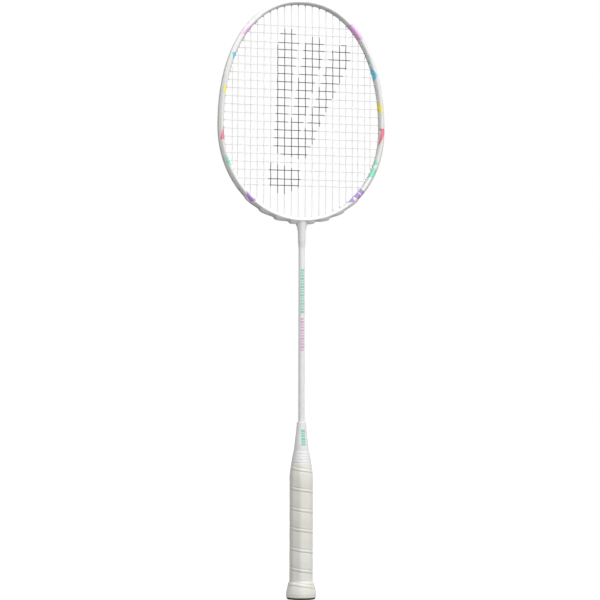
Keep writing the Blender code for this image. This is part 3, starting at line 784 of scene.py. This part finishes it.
class Nodes:
    """A material's node tree, with short calls to add and link nodes."""

    def __init__(self, name):
        self.material = bpy.data.materials.new(name)
        self.material.use_nodes = True
        self.tree = self.material.node_tree
        self.shader = self.tree.nodes["Principled BSDF"]

    def add(self, kind, settings=None, **inputs):
        """A node of a kind, with its settings and its inputs, which are values or other sockets."""
        node = self.tree.nodes.new(kind)
        for key, value in (settings or {}).items():
            setattr(node, key, value)
        for key, value in inputs.items():
            self.put(node.inputs[self.socket(key)], value)
        return node

    @staticmethod
    def socket(key):
        """Number of an input called i0, i1 and so on, or the name of any other."""
        return int(key[1:]) if key[0] == "i" and key[1:].isdigit() else key.replace("_", " ")

    def put(self, target, value):
        if isinstance(value, bpy.types.NodeSocket):
            self.tree.links.new(value, target)
        else:
            target.default_value = value

    def set(self, **inputs):
        """Inputs of the Principled shader."""
        for key, value in inputs.items():
            self.put(self.shader.inputs[key.replace("_", " ")], value)

    def place(self, stretch=(1.0, 1.0, 1.0)):
        """Object coordinates, scaled along each axis."""
        texture = self.add("ShaderNodeTexCoord")
        mapping = self.add("ShaderNodeMapping", Vector=texture.outputs["Object"], Scale=stretch)
        return mapping.outputs["Vector"]

    def noise(self, scale, detail=2.0, vector=None):
        vector = self.place() if vector is None else vector
        return self.add("ShaderNodeTexNoise", Vector=vector, Scale=scale, Detail=detail).outputs["Fac"]

    def ranged(self, value, low, high, start=0.3, end=0.7):
        """Map a value from start and end to low and high."""
        node = self.add("ShaderNodeMapRange", Value=value, i1=start, i2=end, i3=low, i4=high)
        return node.outputs["Result"]

    def math(self, operation, first, second=0.0):
        node = self.add("ShaderNodeMath", {"operation": operation}, i0=first, i1=second)
        return node.outputs["Value"]

    def mix(self, share, first, second):
        """Colour between two colours."""
        node = self.add("ShaderNodeMix", {"data_type": "RGBA"}, i0=share, i6=first, i7=second)
        return node.outputs[2]

    def toned(self, scale, detail, colour, low, high):
        """A colour that wanders between two gains over a broad noise."""
        tone = self.ranged(self.noise(scale, detail), 0.0, 1.0)
        return self.mix(tone, rgba(colour, low), rgba(colour, high))

    def bump(self, height, strength, distance, **below):
        node = self.add("ShaderNodeBump", Height=height, Strength=strength, Distance=distance, **below)
        return node.outputs["Normal"]


def lacquer(name, colour, roughness=0.30, coat=0.3):
    """Sprayed gloss paint: faint orange peel, slightly uneven gloss and tone under a clear coat."""
    nodes = Nodes(name)
    nodes.set(Base_Color=nodes.toned(60.0, 3.0, colour, 0.975, 1.015),
              Roughness=nodes.ranged(nodes.noise(220.0, 3.0), roughness - 0.05, roughness + 0.06),
              Coat_Weight=coat, Coat_Roughness=0.08,
              Normal=nodes.bump(nodes.noise(900.0), 0.06, 0.0004))
    return nodes.material


def moulded(name, colour, roughness):
    """Moulded plastic: fine spark grain and small changes of gloss and tone."""
    nodes = Nodes(name)
    nodes.set(Base_Color=nodes.toned(90.0, 3.0, colour, 0.93, 1.04),
              Roughness=nodes.ranged(nodes.noise(400.0, 3.0), roughness - 0.07, roughness + 0.08),
              Normal=nodes.bump(nodes.noise(2500.0), 0.25, 0.00008))
    return nodes.material


def string_material(name):
    """Braided nylon under a clear coat, with stencil ink where the ink value is high."""
    nodes = Nodes(name)
    run = nodes.add("ShaderNodeUVMap", {"uv_map": "run"})
    parts = nodes.add("ShaderNodeSeparateXYZ", Vector=run.outputs["UV"])
    turn = nodes.math("MULTIPLY", parts.outputs["X"], 2.0 * BRAID_STRANDS * math.pi)
    along = nodes.math("MULTIPLY", parts.outputs["Y"], 2.0 * math.pi / BRAID_PITCH)
    leaning = nodes.math("SINE", nodes.math("ADD", turn, along))
    crossing = nodes.math("SINE", nodes.math("SUBTRACT", turn, along))
    braid = nodes.math("MAXIMUM", leaning, crossing)
    ink = nodes.add("ShaderNodeAttribute", {"attribute_name": "ink"}).outputs["Fac"]
    ragged = nodes.math("ADD", ink, nodes.ranged(nodes.noise(1500.0), -0.16, 0.16))
    cover = nodes.ranged(ragged, 0.0, 1.0, 0.42, 0.58)
    bare = nodes.toned(120.0, 2.0, STRING_COLOUR, 0.95, 1.04)
    nodes.set(Base_Color=nodes.mix(cover, bare, rgba(INK_COLOUR)),
              Roughness=nodes.ranged(cover, 0.30, 0.62, 0.0, 1.0),
              Normal=nodes.bump(braid, 0.5, 0.00006))
    return nodes.material


def grip_material(name):
    """Cream synthetic leather: pebbled grain, faint stretch marks along the wrap, a worn tint, and painted
    shade darkening the furrows beside the seams.
    """
    nodes = Nodes(name)
    grain = nodes.add("ShaderNodeTexVoronoi", {"feature": "SMOOTH_F1"}, Vector=nodes.place(), Scale=1100.0)
    blotch = nodes.ranged(nodes.noise(28.0, 4.0), 0.0, 1.0, 0.35, 0.7)
    stretched = nodes.noise(260.0, 3.0, nodes.place((1.0, 1.0, 0.22)))
    base = nodes.mix(blotch, rgba(GRIP_COLOUR, 1.03), rgba(GRIP_SHADE))
    # The seam value marks the furrows, which get a darker colour mixed in as painted shade.
    seam = nodes.add("ShaderNodeAttribute", {"attribute_name": "seam"}).outputs["Fac"]
    low = nodes.bump(nodes.noise(70.0, 3.0), 0.30, 0.0006)
    creased = nodes.bump(stretched, 0.22, 0.0002, Normal=low)
    nodes.set(Base_Color=nodes.mix(nodes.math("MULTIPLY", seam, 0.4), base, rgba(GRIP_FURROW_SHADE)),
              Roughness=nodes.ranged(stretched, 0.52, 0.70),
              Sheen_Weight=0.15, Sheen_Roughness=0.5,
              Normal=nodes.bump(grain.outputs["Distance"], 0.35, 0.00012, Normal=creased))
    return nodes.material


def tape_material(name):
    """Thin vinyl tape: smooth, a little cool, with fine lines where it was pulled tight."""
    nodes = Nodes(name)
    pulled = nodes.noise(420.0, 3.0, nodes.place((0.12, 0.12, 1.0)))
    nodes.set(Base_Color=nodes.toned(70.0, 2.0, TAPE_COLOUR, 0.96, 1.03),
              Roughness=nodes.ranged(pulled, 0.30, 0.46),
              Normal=nodes.bump(pulled, 0.30, 0.00015))
    return nodes.material


def wood_material(name):
    """Bare light wood with its grain along the handle."""
    nodes = Nodes(name)
    vector = nodes.place((1.0, 1.0, 0.06))
    rings = nodes.add("ShaderNodeTexWave", {"wave_type": "BANDS", "bands_direction": "X"}, Vector=vector,
                      Scale=180.0, Distortion=5.0, Detail=3.0)
    fibre = nodes.noise(1400.0, 4.0, vector)
    base = nodes.mix(rings.outputs["Fac"], rgba(WOOD_LIGHT), rgba(WOOD_DARK))
    nodes.set(Base_Color=nodes.mix(nodes.ranged(fibre, 0.0, 0.35), base, rgba(WOOD_DARK, 0.8)),
              Roughness=nodes.ranged(fibre, 0.55, 0.75),
              Normal=nodes.bump(fibre, 0.4, 0.00012))
    return nodes.material


def metal_material(name, colour, roughness, stretch):
    """Metal with fine marks drawn out along one axis by the way it was made."""
    nodes = Nodes(name)
    marks = nodes.noise(1600.0, 3.0, nodes.place(stretch))
    nodes.set(Base_Color=nodes.toned(300.0, 2.0, colour, 0.9, 1.05),
              Metallic=1.0,
              Roughness=nodes.ranged(marks, roughness - 0.08, roughness + 0.12),
              Normal=nodes.bump(marks, 0.25, 0.00006))
    return nodes.material


# ---- hoop moulding

def outer_height(hoop, x, y):
    """Height of the underside of the hoop near the shaft, over a point of the X-Y plane."""
    near = slice(OUTLINE_STEPS // 8)
    s = np.where(x >= 0.0, 1.0, -1.0) * np.interp(np.abs(x), hoop.x[near], hoop.lengths[near])
    _, z = hoop.position(s)
    fall = np.maximum(HALF_DEPTH - np.abs(y), 0.0) / (HALF_DEPTH - LIP_DEPTH)
    reach = LIP_REACH * np.sqrt((fall * SLOPE_SPAN + SLOPE_START) ** 2 - SLOPE_START ** 2)
    return z + np.maximum(HALF_WIDTH - reach, 0.0)


def socket_skin(hoop):
    """The moulded socket: it leaves the underside of the hoop along its surface and closes on the shaft."""
    turns = full_turn(ROUND_STEPS)
    out_x, out_y = np.cos(turns), np.sin(turns)
    reach = 1.0 / np.hypot(out_x / SOCKET_REACH_X, out_y / SOCKET_REACH_Y)
    rim_z = outer_height(hoop, reach * out_x, reach * out_y)
    inner = reach - RIM_STEP
    slope = outer_height(hoop, inner * out_x, inner * out_y) - rim_z
    lean = np.stack([np.full_like(slope, -RIM_STEP), slope], axis=-1) / np.hypot(RIM_STEP, slope)[:, None]
    start = np.stack([reach, rim_z + SOCKET_SINK], axis=-1)
    end = np.array([SOCKET_RADIUS, SOCKET_MOUTH_Z])
    first = start + lean * (SOCKET_SPREAD * (reach - SOCKET_RADIUS) + SOCKET_LEAD)[:, None]
    second = end + np.array([0.0, SOCKET_RISE])
    rings = []
    for share in np.linspace(0.0, 1.0, SOCKET_ROWS):
        back = 1.0 - share
        curve = (back ** 3 * start + 3.0 * back ** 2 * share * first
                 + 3.0 * back * share ** 2 * second + share ** 3 * end)
        rings.append(polar_rings(curve[:, 0], turns, curve[:, 1]))
    rings += [polar_rings(radius, turns, z) for z, radius in SOCKET_TAPER]
    return skinned("socket_skin", np.array(rings))


def groove_plug(hoop, side):
    """Cutter that reopens the groove where the socket's skin covers it."""
    start = hoop.solve(0.0, 0.25 * hoop.total, 0.0, 0, GROOVE_END_X)
    run = np.linspace(start, start + GROOVE_PLUG_LENGTH, 20) * side
    floor = GROOVE_DEPTH - 0.01
    insets, depths = np.array([(floor, -1.95), (floor, 1.95), (-1.6, 2.15), (-1.6, -2.15)]).T
    return skinned("groove_plug", hoop.point(run[:, None], insets, depths))


def block(name, low, high):
    """Plain closed block between two corners, for cutting."""
    (x0, y0, z0), (x1, y1, z1) = low, high
    corners = ((x0, y0), (x1, y0), (x1, y1), (x0, y1))
    return skinned(name, np.array([[(x, y, z) for x, y in corners] for z in (z0, z1)]))


def hole_stack(hoop, hole, profile):
    """Centres and radii of a piece along a string hole, from (inset, radius) pairs."""
    insets, radii = np.transpose(profile)
    return hoop.point(hole["s"], insets, bed_y(hole)), radii


def make_hoop(hoop, material):
    moulding = skinned("hoop_moulding", hoop_rings(hoop), material, closed=True)
    cut(moulding, [socket_skin(hoop)], "UNION")
    drill = ((0.9, HOLE_RADIUS), (SECTION_WIDTH + 1.0, HOLE_RADIUS))
    string_holes = stacks("string_holes", [hole_stack(hoop, hole, drill) for hole in hoop.holes], 20)
    joint_low, joint_high = node_box("t_joint")
    arm_low = joint_high[2] - T_ARM_THICKNESS
    pocket = block("t_pocket", (joint_low[0] - GAP, joint_low[1] - GAP, arm_low - GAP), joint_high + GAP)
    bore = upright_rod("shaft_bore", SOCKET_TAPER[-1][0] - 1.0, node_box("shaft")[1][2] + GAP,
                       SHAFT_RADIUS + 0.02, ROUND_STEPS)
    stem = upright_rod("stem_bore", SOCKET_MOUTH_Z, arm_low, T_STEM_RADIUS + GAP, 24)
    cut(moulding, [groove_plug(hoop, 1), groove_plug(hoop, -1), string_holes, bore, stem, pocket])
    return finish_piece(moulding, "frame_lacquer", "head_frame")


# ---- colour patches

def hoop_surface(hoop, s, angle, lift):
    """Points a little above the hoop's skin, at arc lengths and section angles."""
    radial, depth = section_arc(angle)
    normal_r = signed_power(radial / HALF_WIDTH, SECTION_EXPONENT - 1.0) / HALF_WIDTH
    normal_y = signed_power(depth / HALF_DEPTH, SECTION_EXPONENT - 1.0) / HALF_DEPTH
    norm = np.hypot(normal_r, normal_y)
    radial = radial + hoop.rise(s) * hump_share(radial) + lift * normal_r / norm
    return hoop.point(s, HALF_WIDTH - radial, depth + lift * normal_y / norm)


def patch_points(hoop, side, face, corners):
    """Two grids of points, under and over the skin, for a three- or four-cornered patch."""
    low, high = (0.0, 0.5 * hoop.total) if side > 0 else (0.5 * hoop.total, hoop.total)
    spots = [(hoop.solve(low, high, HALF_WIDTH, 2, z), across) for z, across in corners]
    spots = np.array(spots if len(spots) == 4 else spots + spots[-1:])
    u = np.linspace(0.0, 1.0, PATCH_STEPS)[:, None, None]
    v = np.linspace(0.0, 1.0, PATCH_STEPS)[None, :, None]
    flat = (1 - u) * ((1 - v) * spots[0] + v * spots[3]) + u * ((1 - v) * spots[1] + v * spots[2])
    angle = face * np.radians(90.0 - flat[..., 1])
    layers = [hoop_surface(hoop, flat[..., 0], angle, lift) for lift in (-PATCH_SINK, PATCH_LIFT)]
    return np.vstack([layer.reshape(-1, 3) for layer in layers])


def make_patches(hoop, name, colour, patches):
    """All the patches of one colour, on the front and the back of the hoop."""
    points, faces = [], []
    for side, corners in patches:
        for face in (-1, 1):
            faces += slab_faces(PATCH_STEPS, PATCH_STEPS, len(points))
            points += patch_points(hoop, side, face, corners).tolist()
    paint = lacquer(f"paint_{name}", colour, 0.30, 0.5)
    return painted_piece(f"patches_{name}", points, faces, paint, "frame_lacquer")


# ---- strings

def in_shuttlecock(x, z):
    """Whether a point of the bed is inside the stencilled shuttlecock, which leans to the right."""
    across = (x - COCK_FOOT_X) * math.cos(COCK_LEAN) - (z - COCK_FOOT_Z) * math.sin(COCK_LEAN)
    up = (x - COCK_FOOT_X) * math.sin(COCK_LEAN) + (z - COCK_FOOT_Z) * math.cos(COCK_LEAN)
    nose = np.sqrt(np.clip(1.0 - (1.0 - up / CORK_RADIUS) ** 2, 0.0, 1.0))
    cork_half = CORK_RADIUS * np.where(up < CORK_RADIUS, nose, 1.0)
    cork = (up > 0.0) & (up < CORK_TOP) & (np.abs(across) < cork_half)
    share = (up - SKIRT_LOW) / (SKIRT_HIGH - SKIRT_LOW)
    half = np.maximum(SKIRT_LOW_HALF + (SKIRT_HIGH_HALF - SKIRT_LOW_HALF) * share, 1.0)
    feather = 0.5 * FEATHERS * (across / half + 1.0)
    off_middle = 2.0 * np.abs(feather - np.floor(feather) - 0.5)
    tip = SKIRT_HIGH - FEATHER_TIP * off_middle ** 2
    solid = off_middle < np.where(share < SKIRT_JOINED, 1.0, 1.0 - FEATHER_GAP)
    return cork | ((up > SKIRT_LOW) & (up < tip) & (np.abs(across) < half) & solid)


def make_string(hoop, node, runs, crossed, first_side, material):
    lines = [bed_line(hoop, run) for run in runs]
    others = [bed_line(hoop, run) for run in crossed]
    points = string_route(hoop, runs, lines, others, first_side)
    ink = in_shuttlecock(points[:, 0], points[:, 2]).astype(float)
    obj = tube(node + "_woven", points, STRING_RADIUS + INK_THICKNESS * ink, STRING_SIDES, material)
    add_value(obj.data, "ink", np.repeat(ink, STRING_SIDES))
    return finish_piece(obj, "string", node)


# ---- grommets

def strip_groups(holes):
    """Names and holes of the strips: one over the crown, then five down each side."""
    groups, crown = [], []
    for side, label in ((1, "right"), (-1, "left")):
        own = [hole for hole in holes if hole["side"] == side]
        own.sort(key=lambda hole: hole["s"], reverse=side > 0)
        crown += own[:CROWN_STRIP_HALF]
        start = CROWN_STRIP_HALF
        for name, size in STRIP_SIZES:
            groups.append((f"grommet_{name}_{label}", own[start:start + size]))
            start += size
    return [("grommet_crown", crown)] + groups


def strip_band(hoop, name, group, material):
    """The band along the groove floor, with rounded edges and ends."""
    places = sorted(hole["s"] for hole in group)
    start, end = places[0] - STRIP_OVERRUN, places[-1] + STRIP_OVERRUN
    run = np.linspace(start, end, max(8, round(end - start)))
    near_end = ramp(np.minimum(run - start, end - run), STRIP_HALF_WIDTH)
    width = STRIP_HALF_WIDTH * (0.55 + 0.45 * np.sqrt(1.0 - (1.0 - near_end) ** 2))
    low, high = GROOVE_DEPTH - 0.02, GROOVE_DEPTH - GAP - STRIP_THICKNESS
    insets, shares = np.array([(low, -1.0), (low, 1.0), (low - 0.3, 1.0), (high + 0.12, 0.97), (high, 0.88),
                               (high, -0.88), (high + 0.12, -0.97), (low - 0.3, -1.0)]).T
    return skinned(name, hoop.point(run[:, None], insets, shares * width[:, None]), material)


def make_grommet(hoop, name, group, material):
    """A strip with a barrel through the hoop for each of its holes."""
    tip = SECTION_WIDTH + BARREL_STAND_OUT
    barrel = ((1.3, BARREL_RADIUS), (tip - 0.9, BARREL_RADIUS), (tip - 0.25, BARREL_RADIUS - 0.08),
              (tip - 0.06, BARREL_RADIUS - 0.18), (tip, BARREL_RADIUS - 0.36))
    bore = ((0.2, BORE_RADIUS + 0.35), (1.25, BORE_RADIUS + 0.08), (1.8, BORE_RADIUS),
            (tip - 0.4, BORE_RADIUS), (tip + 0.3, BORE_RADIUS + 0.22))
    strip = strip_band(hoop, name + "_strip", group, material)
    cut(strip, [stacks("barrels", [hole_stack(hoop, hole, barrel) for hole in group], 20)], "UNION")
    cut(strip, [stacks("bores", [hole_stack(hoop, hole, bore) for hole in group], 16)])
    return finish_piece(strip, "grommet", name)


# ---- shaft and cone

def make_shaft(material):
    bottom, top = (corner[2] for corner in node_box("shaft"))
    inside = SHAFT_RADIUS - SHAFT_EDGE
    profile = [(SHAFT_BORE, bottom), (inside, bottom), (SHAFT_RADIUS, bottom + SHAFT_EDGE)]
    profile += [(SHAFT_RADIUS, z) for z in np.linspace(bottom + 10.0, top - 10.0, 30)]
    profile += [(SHAFT_RADIUS, top - SHAFT_EDGE), (inside, top), (SHAFT_BORE, top)]
    return finish_piece(turned("shaft_tube", profile, material), "shaft_lacquer", "shaft")


def shaft_radius(z):
    return SHAFT_RADIUS


def cone_radius(z):
    """Outer radius of the cone above the tape."""
    return float(np.interp(z, CONE_CURVE[:, 1], CONE_CURVE[:, 0]))


def make_cone(material):
    bottom, top = (corner[2] for corner in node_box("handle_cone"))
    bore = SHAFT_RADIUS + 0.03
    profile = [(bore, bottom), (10.6, bottom), *CONE_HIDDEN, *CONE_CURVE]
    profile += [(CONE_TIP_RADIUS, top - 0.25), (CONE_TIP_RADIUS - 0.3, top), (bore, top)]
    return finish_piece(turned("cone_cover", profile, material), "cone_lacquer", "handle_cone")


def bar_rows(top, bottom, half, lengths, gap):
    """Rounded bars one below another, each as (z, half width) rows; their lengths repeat in turn."""
    bars, high = [], top
    while high - lengths[len(bars) % len(lengths)] >= bottom:
        low = high - lengths[len(bars) % len(lengths)]
        bars.append([(low, half - BAR_ROUNDING), (low + BAR_ROUNDING, half),
                     (high - BAR_ROUNDING, half), (high, half - BAR_ROUNDING)])
        high = low - gap
    return bars


def make_bars(name, radius_at, bars, material, slot):
    """Bars printed down the front of a turned surface."""
    points, faces = [], []
    for rows in bar_rows(**bars):
        faces += slab_faces(len(rows), BAR_COLUMNS, len(points))
        for lift in (-BAR_SINK, BAR_LIFT):
            for z, half in rows:
                radius = radius_at(z) + lift
                turns = np.linspace(-half, half, BAR_COLUMNS) / radius
                points += [(radius * math.sin(turn), -radius * math.cos(turn), z) for turn in turns]
    return painted_piece(name, points, faces, material, slot)


# ---- handle

def octagon_radius(turns, flat_half, sharpness):
    """Polar radius of a rounded octagon with flats facing X and Y; low sharpness is nearly round."""
    total = sum(np.maximum(0.0, np.cos(turns - math.pi * k / 4.0)) ** sharpness for k in range(8))
    return flat_half / total ** (1.0 / sharpness)


def seam_distance(turns, z):
    """Height above the nearest seam of the wrap, which falls from left to right, gently on the front."""
    slack = SEAM_SLACK * np.cos(turns)
    phase = (z - SEAM_START_Z - slack) / SEAM_PITCH + (turns + 0.5 * math.pi) / (2.0 * math.pi)
    return (phase - np.round(phase)) * SEAM_PITCH


def furrow_share(gap):
    """How deep in a furrow a point is, at a height above the middle of the rolled edge."""
    return sum(np.exp(-((gap + side) / FURROW_WIDTH) ** 2) for side in (-SEAM_HALF, SEAM_HALF))


def seam_relief(gap):
    """Rolled edge between two furrows, at a height above its middle."""
    return SEAM_BEAD * np.exp(-(gap / BEAD_WIDTH) ** 4) - SEAM_FURROW * furrow_share(gap)


def make_grip(material):
    """Spiral wrap: each turn laps the last, with a rolled edge between two fine furrows."""
    low, high = node_box("grip_wrap")
    turns = full_turn(GRIP_COLUMNS)[None, :]
    levels = np.linspace(low[2], high[2], GRIP_ROWS)[:, None]
    outline = smooth_profile(GRIP_OUTLINE, 24)
    outline = outline[np.argsort(outline[:, 1])]
    flat_half = np.interp(levels, outline[:, 1], outline[:, 0])
    sharpness = np.interp(levels, *GRIP_SHARPNESS)
    gap = seam_distance(turns, levels)
    first_turn = levels - FIRST_TURN_Z + FIRST_TURN_LEAN * np.cos(turns)
    fade = ramp(levels - WRAP_START_Z, WRAP_START_FADE) * ramp(WRAP_END_Z - levels, WRAP_END_FADE)
    swell = -SEAM_SWELL * np.cos(2.0 * math.pi * gap / SEAM_PITCH)
    hem = HEM_DEPTH * np.exp(-((levels - HEM_Z) / HEM_WIDTH) ** 2)
    radius = (octagon_radius(turns, flat_half, sharpness) + fade * (seam_relief(gap) + swell - SEAM_BEAD)
              + seam_relief(first_turn) - hem)
    rim = polar_rings(radius[:1] - GRIP_RIM, turns, levels[:1])
    outer = polar_rings(radius, turns, levels)[2:]
    inner = polar_rings(octagon_radius(turns, flat_half - GRIP_WALL, sharpness), turns, levels)[::-8]
    rings = np.vstack([rim, outer, inner])
    obj = skinned("grip_spiral", rings, material, closed=True, angle=SOFT_ANGLE)
    # Painted shade: the furrows' depth share, which the material turns into a darker colour.
    seam = np.zeros(rings.shape[:2])
    seam[1:1 + len(outer)] = (fade * furrow_share(gap) + furrow_share(first_turn))[2:]
    add_value(obj.data, "seam", seam.ravel())
    return finish_piece(obj, "grip", "grip_wrap")


def make_tape(material):
    """Finishing tape: a narrow film wound up the handle, each turn's edge a fine step."""
    bottom, top = (corner[2] for corner in node_box("finishing_tape"))
    turns = full_turn(2 * ROUND_STEPS)[None, :]
    levels = np.linspace(bottom, top, TAPE_ROWS)[:, None]
    line = np.array(TAPE_LINE)
    base = np.interp(levels, line[:, 1], line[:, 0])
    phase = (levels - bottom) / TAPE_PITCH + (turns + 0.5 * math.pi) / (2.0 * math.pi)
    share = phase - np.floor(phase)
    step = TAPE_STEP * (1.0 - share) * ramp(share, 0.06)
    ends = ramp(levels - bottom, TAPE_EDGE) * ramp(top - levels, TAPE_EDGE)
    outer = polar_rings(base - TAPE_STEP + step * ends, turns, levels)
    inner = polar_rings(base - TAPE_WALL, turns, levels)[::-6]
    obj = skinned("tape_winding", np.vstack([outer, inner]), material, closed=True, angle=SOFT_ANGLE)
    return finish_piece(obj, "tape", "finishing_tape")


def make_cap(material):
    """Butt cap: a full round lip under the flare and a flat ring about the disc's recess."""
    floor, rim = DISC_THICKNESS + 0.1, DISC_RADIUS + 0.15
    core = float(node_box("handle_core")[0][2]) - GAP
    profile = [(0.0, floor), (rim, floor), (rim, 0.25), (rim + 0.25, 0.0), *CAP_LIP, *CAP_SKIRT,
               (CAP_SOCKET_RADIUS, CAP_SKIRT[-1][1]), (CAP_SOCKET_RADIUS, core), (0.0, core)]
    return finish_piece(turned("butt_cap_moulding", profile, material), "butt_cap", "butt_cap")


def make_disc(material):
    """Plain disc in the butt end, with a fine groove near its rim."""
    edge = DISC_RADIUS
    profile = [(0.0, 0.12), (edge - 2.6, 0.06), (edge - 2.2, 0.22), (edge - 1.8, 0.06), (edge - 0.4, 0.05),
               (edge - 0.1, 0.16), (edge, 0.35), (edge, DISC_THICKNESS), (0.0, DISC_THICKNESS)]
    return finish_piece(turned("butt_disc_plate", profile, material), "butt_disc", "butt_disc")


def carry_over():
    """Materials for the inner CAD nodes that stay as they are."""
    steel = metal_material("staple_steel", STEEL, 0.34, (1.0, 1.0, 0.1))
    finishes = {"handle_core": wood_material("core_wood"),
                "t_joint": metal_material("t_joint_aluminium", ALUMINIUM, 0.42, (0.2, 1.0, 1.0)),
                "cap_staple_front": steel, "cap_staple_back": steel}
    for name, material in finishes.items():
        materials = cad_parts[name].data.materials
        materials.clear()
        materials.append(material)


# ---- stage

def aim(obj, target, roll=0.0):
    turn = (Vector(target) - obj.location).to_track_quat("-Z", "Y")
    obj.rotation_euler = (turn @ Matrix.Rotation(roll, 3, "Z").to_quaternion()).to_euler()


def around(azimuth, elevation, distance, centre):
    """Point at a distance from the centre; azimuth 0 is in front and 90 to the right."""
    a, e = math.radians(azimuth), math.radians(elevation)
    back = Vector((math.sin(a) * math.cos(e), -math.cos(a) * math.cos(e), math.sin(e)))
    return Vector(centre) + back * distance


def make_camera():
    data = bpy.data.cameras.new("camera")
    data.sensor_width = 36.0
    data.lens = CAMERA_LENS
    camera = bpy.data.objects.new("camera", data)
    bpy.context.scene.collection.objects.link(camera)
    camera.location = around(CAMERA_AZIMUTH, CAMERA_ELEVATION, CAMERA_DISTANCE, CAMERA_TARGET)
    aim(camera, CAMERA_TARGET, math.radians(CAMERA_ROLL))
    bpy.context.scene.camera = camera


def make_light(name, azimuth, elevation, distance, size, power):
    data = bpy.data.lights.new(name, "AREA")
    data.shape = "DISK"
    data.size = size
    data.energy = power
    light = bpy.data.objects.new(name, data)
    bpy.context.scene.collection.objects.link(light)
    light.location = around(azimuth, elevation, distance, LIGHT_TARGET)
    aim(light, LIGHT_TARGET)


def make_world():
    """White where the camera sees it, and a dimmer even grey where it lights the racket."""
    world = bpy.data.worlds.new("studio")
    bpy.context.scene.world = world
    world.use_nodes = True
    tree = world.node_tree
    seen = tree.nodes.new("ShaderNodeLightPath")
    mix = tree.nodes.new("ShaderNodeMix")
    mix.data_type = "RGBA"
    tree.links.new(seen.outputs["Is Camera Ray"], mix.inputs[0])
    mix.inputs[6].default_value = rgba(WORLD_LIGHT)
    mix.inputs[7].default_value = (1.0, 1.0, 1.0, 1.0)
    tree.links.new(mix.outputs[2], tree.nodes["Background"].inputs["Color"])


def make_floor():
    """Plain pale floor at the butt end. It lights itself for the camera, so that it stays pale, and a
    little less near the racket, as a painted contact shadow.
    """
    half = FLOOR_HALF
    points = [(-half, -half, 0.0), (half, -half, 0.0), (half, half, 0.0), (-half, half, 0.0)]
    nodes = Nodes("floor")
    diffuse = nodes.add("ShaderNodeBsdfDiffuse", Color=rgba(FLOOR_SHADE))
    place = nodes.add("ShaderNodeTexCoord").outputs["Object"]
    reach = nodes.add("ShaderNodeVectorMath", {"operation": "LENGTH"}, i0=place).outputs["Value"]
    seen = nodes.add("ShaderNodeLightPath").outputs["Is Camera Ray"]
    # Painted contact shadow: the glow the camera sees is weaker close to the racket and full further out.
    strength = nodes.math("MULTIPLY", seen, nodes.ranged(reach, FLOOR_PAINTED_SHADOW_GLOW, 1.0, 0.1, 0.9))
    glow = nodes.add("ShaderNodeEmission", Color=(1.0, 1.0, 1.0, 1.0), Strength=strength)
    both = nodes.add("ShaderNodeAddShader", i0=diffuse.outputs["BSDF"], i1=glow.outputs["Emission"])
    nodes.put(nodes.tree.nodes["Material Output"].inputs["Surface"], both.outputs["Shader"])
    floor = mesh_object("floor", points, [(0, 1, 2, 3)], nodes.material)
    floor.location.z = CAD_BOX[0].z - 0.0002


# ---- the whole racket

def make_head(hoop):
    """Hoop, paint, strings and grommets."""
    make_hoop(hoop, lacquer("white_lacquer", HOOP_WHITE))
    for name, (colour, patches) in PATCHES.items():
        make_patches(hoop, name, colour, patches)
    nylon = string_material("string_nylon")
    mains, crosses = main_runs(hoop.holes), cross_runs(hoop.holes)
    make_string(hoop, "main_string", mains, crosses, 1, nylon)
    make_string(hoop, "cross_string", crosses, mains, -1, nylon)
    plastic = moulded("grommet_nylon", GROMMET_COLOUR, 0.38)
    for name, group in strip_groups(hoop.holes):
        make_grommet(hoop, name, group, plastic)


def make_shaft_and_handle():
    make_shaft(lacquer("shaft_lacquer", WHITE, 0.24))
    make_cone(lacquer("cone_lacquer", WHITE, 0.33))
    mint, pink = lacquer("print_mint", PRINT_MINT, 0.34), lacquer("print_pink", PRINT_PINK, 0.34)
    make_bars("shaft_bars_mint", shaft_radius, SHAFT_MINT_BARS, mint, "shaft_lacquer")
    make_bars("shaft_bars_pink", shaft_radius, SHAFT_PINK_BARS, pink, "shaft_lacquer")
    make_bars("cone_bars", cone_radius, CONE_BARS, mint, "cone_lacquer")
    make_grip(grip_material("grip_synthetic"))
    make_tape(tape_material("tape_film"))
    make_cap(moulded("cap_plastic", CAP_COLOUR, 0.34))
    make_disc(moulded("disc_plastic", MINT, 0.42))
    carry_over()


def make_stage():
    make_camera()
    for light in LIGHTS:
        make_light(*light)
    make_world()
    make_floor()
    bpy.context.scene.view_settings.view_transform = "Standard"


def main():
    make_head(Hoop())
    make_shaft_and_handle()
    make_stage()


main()
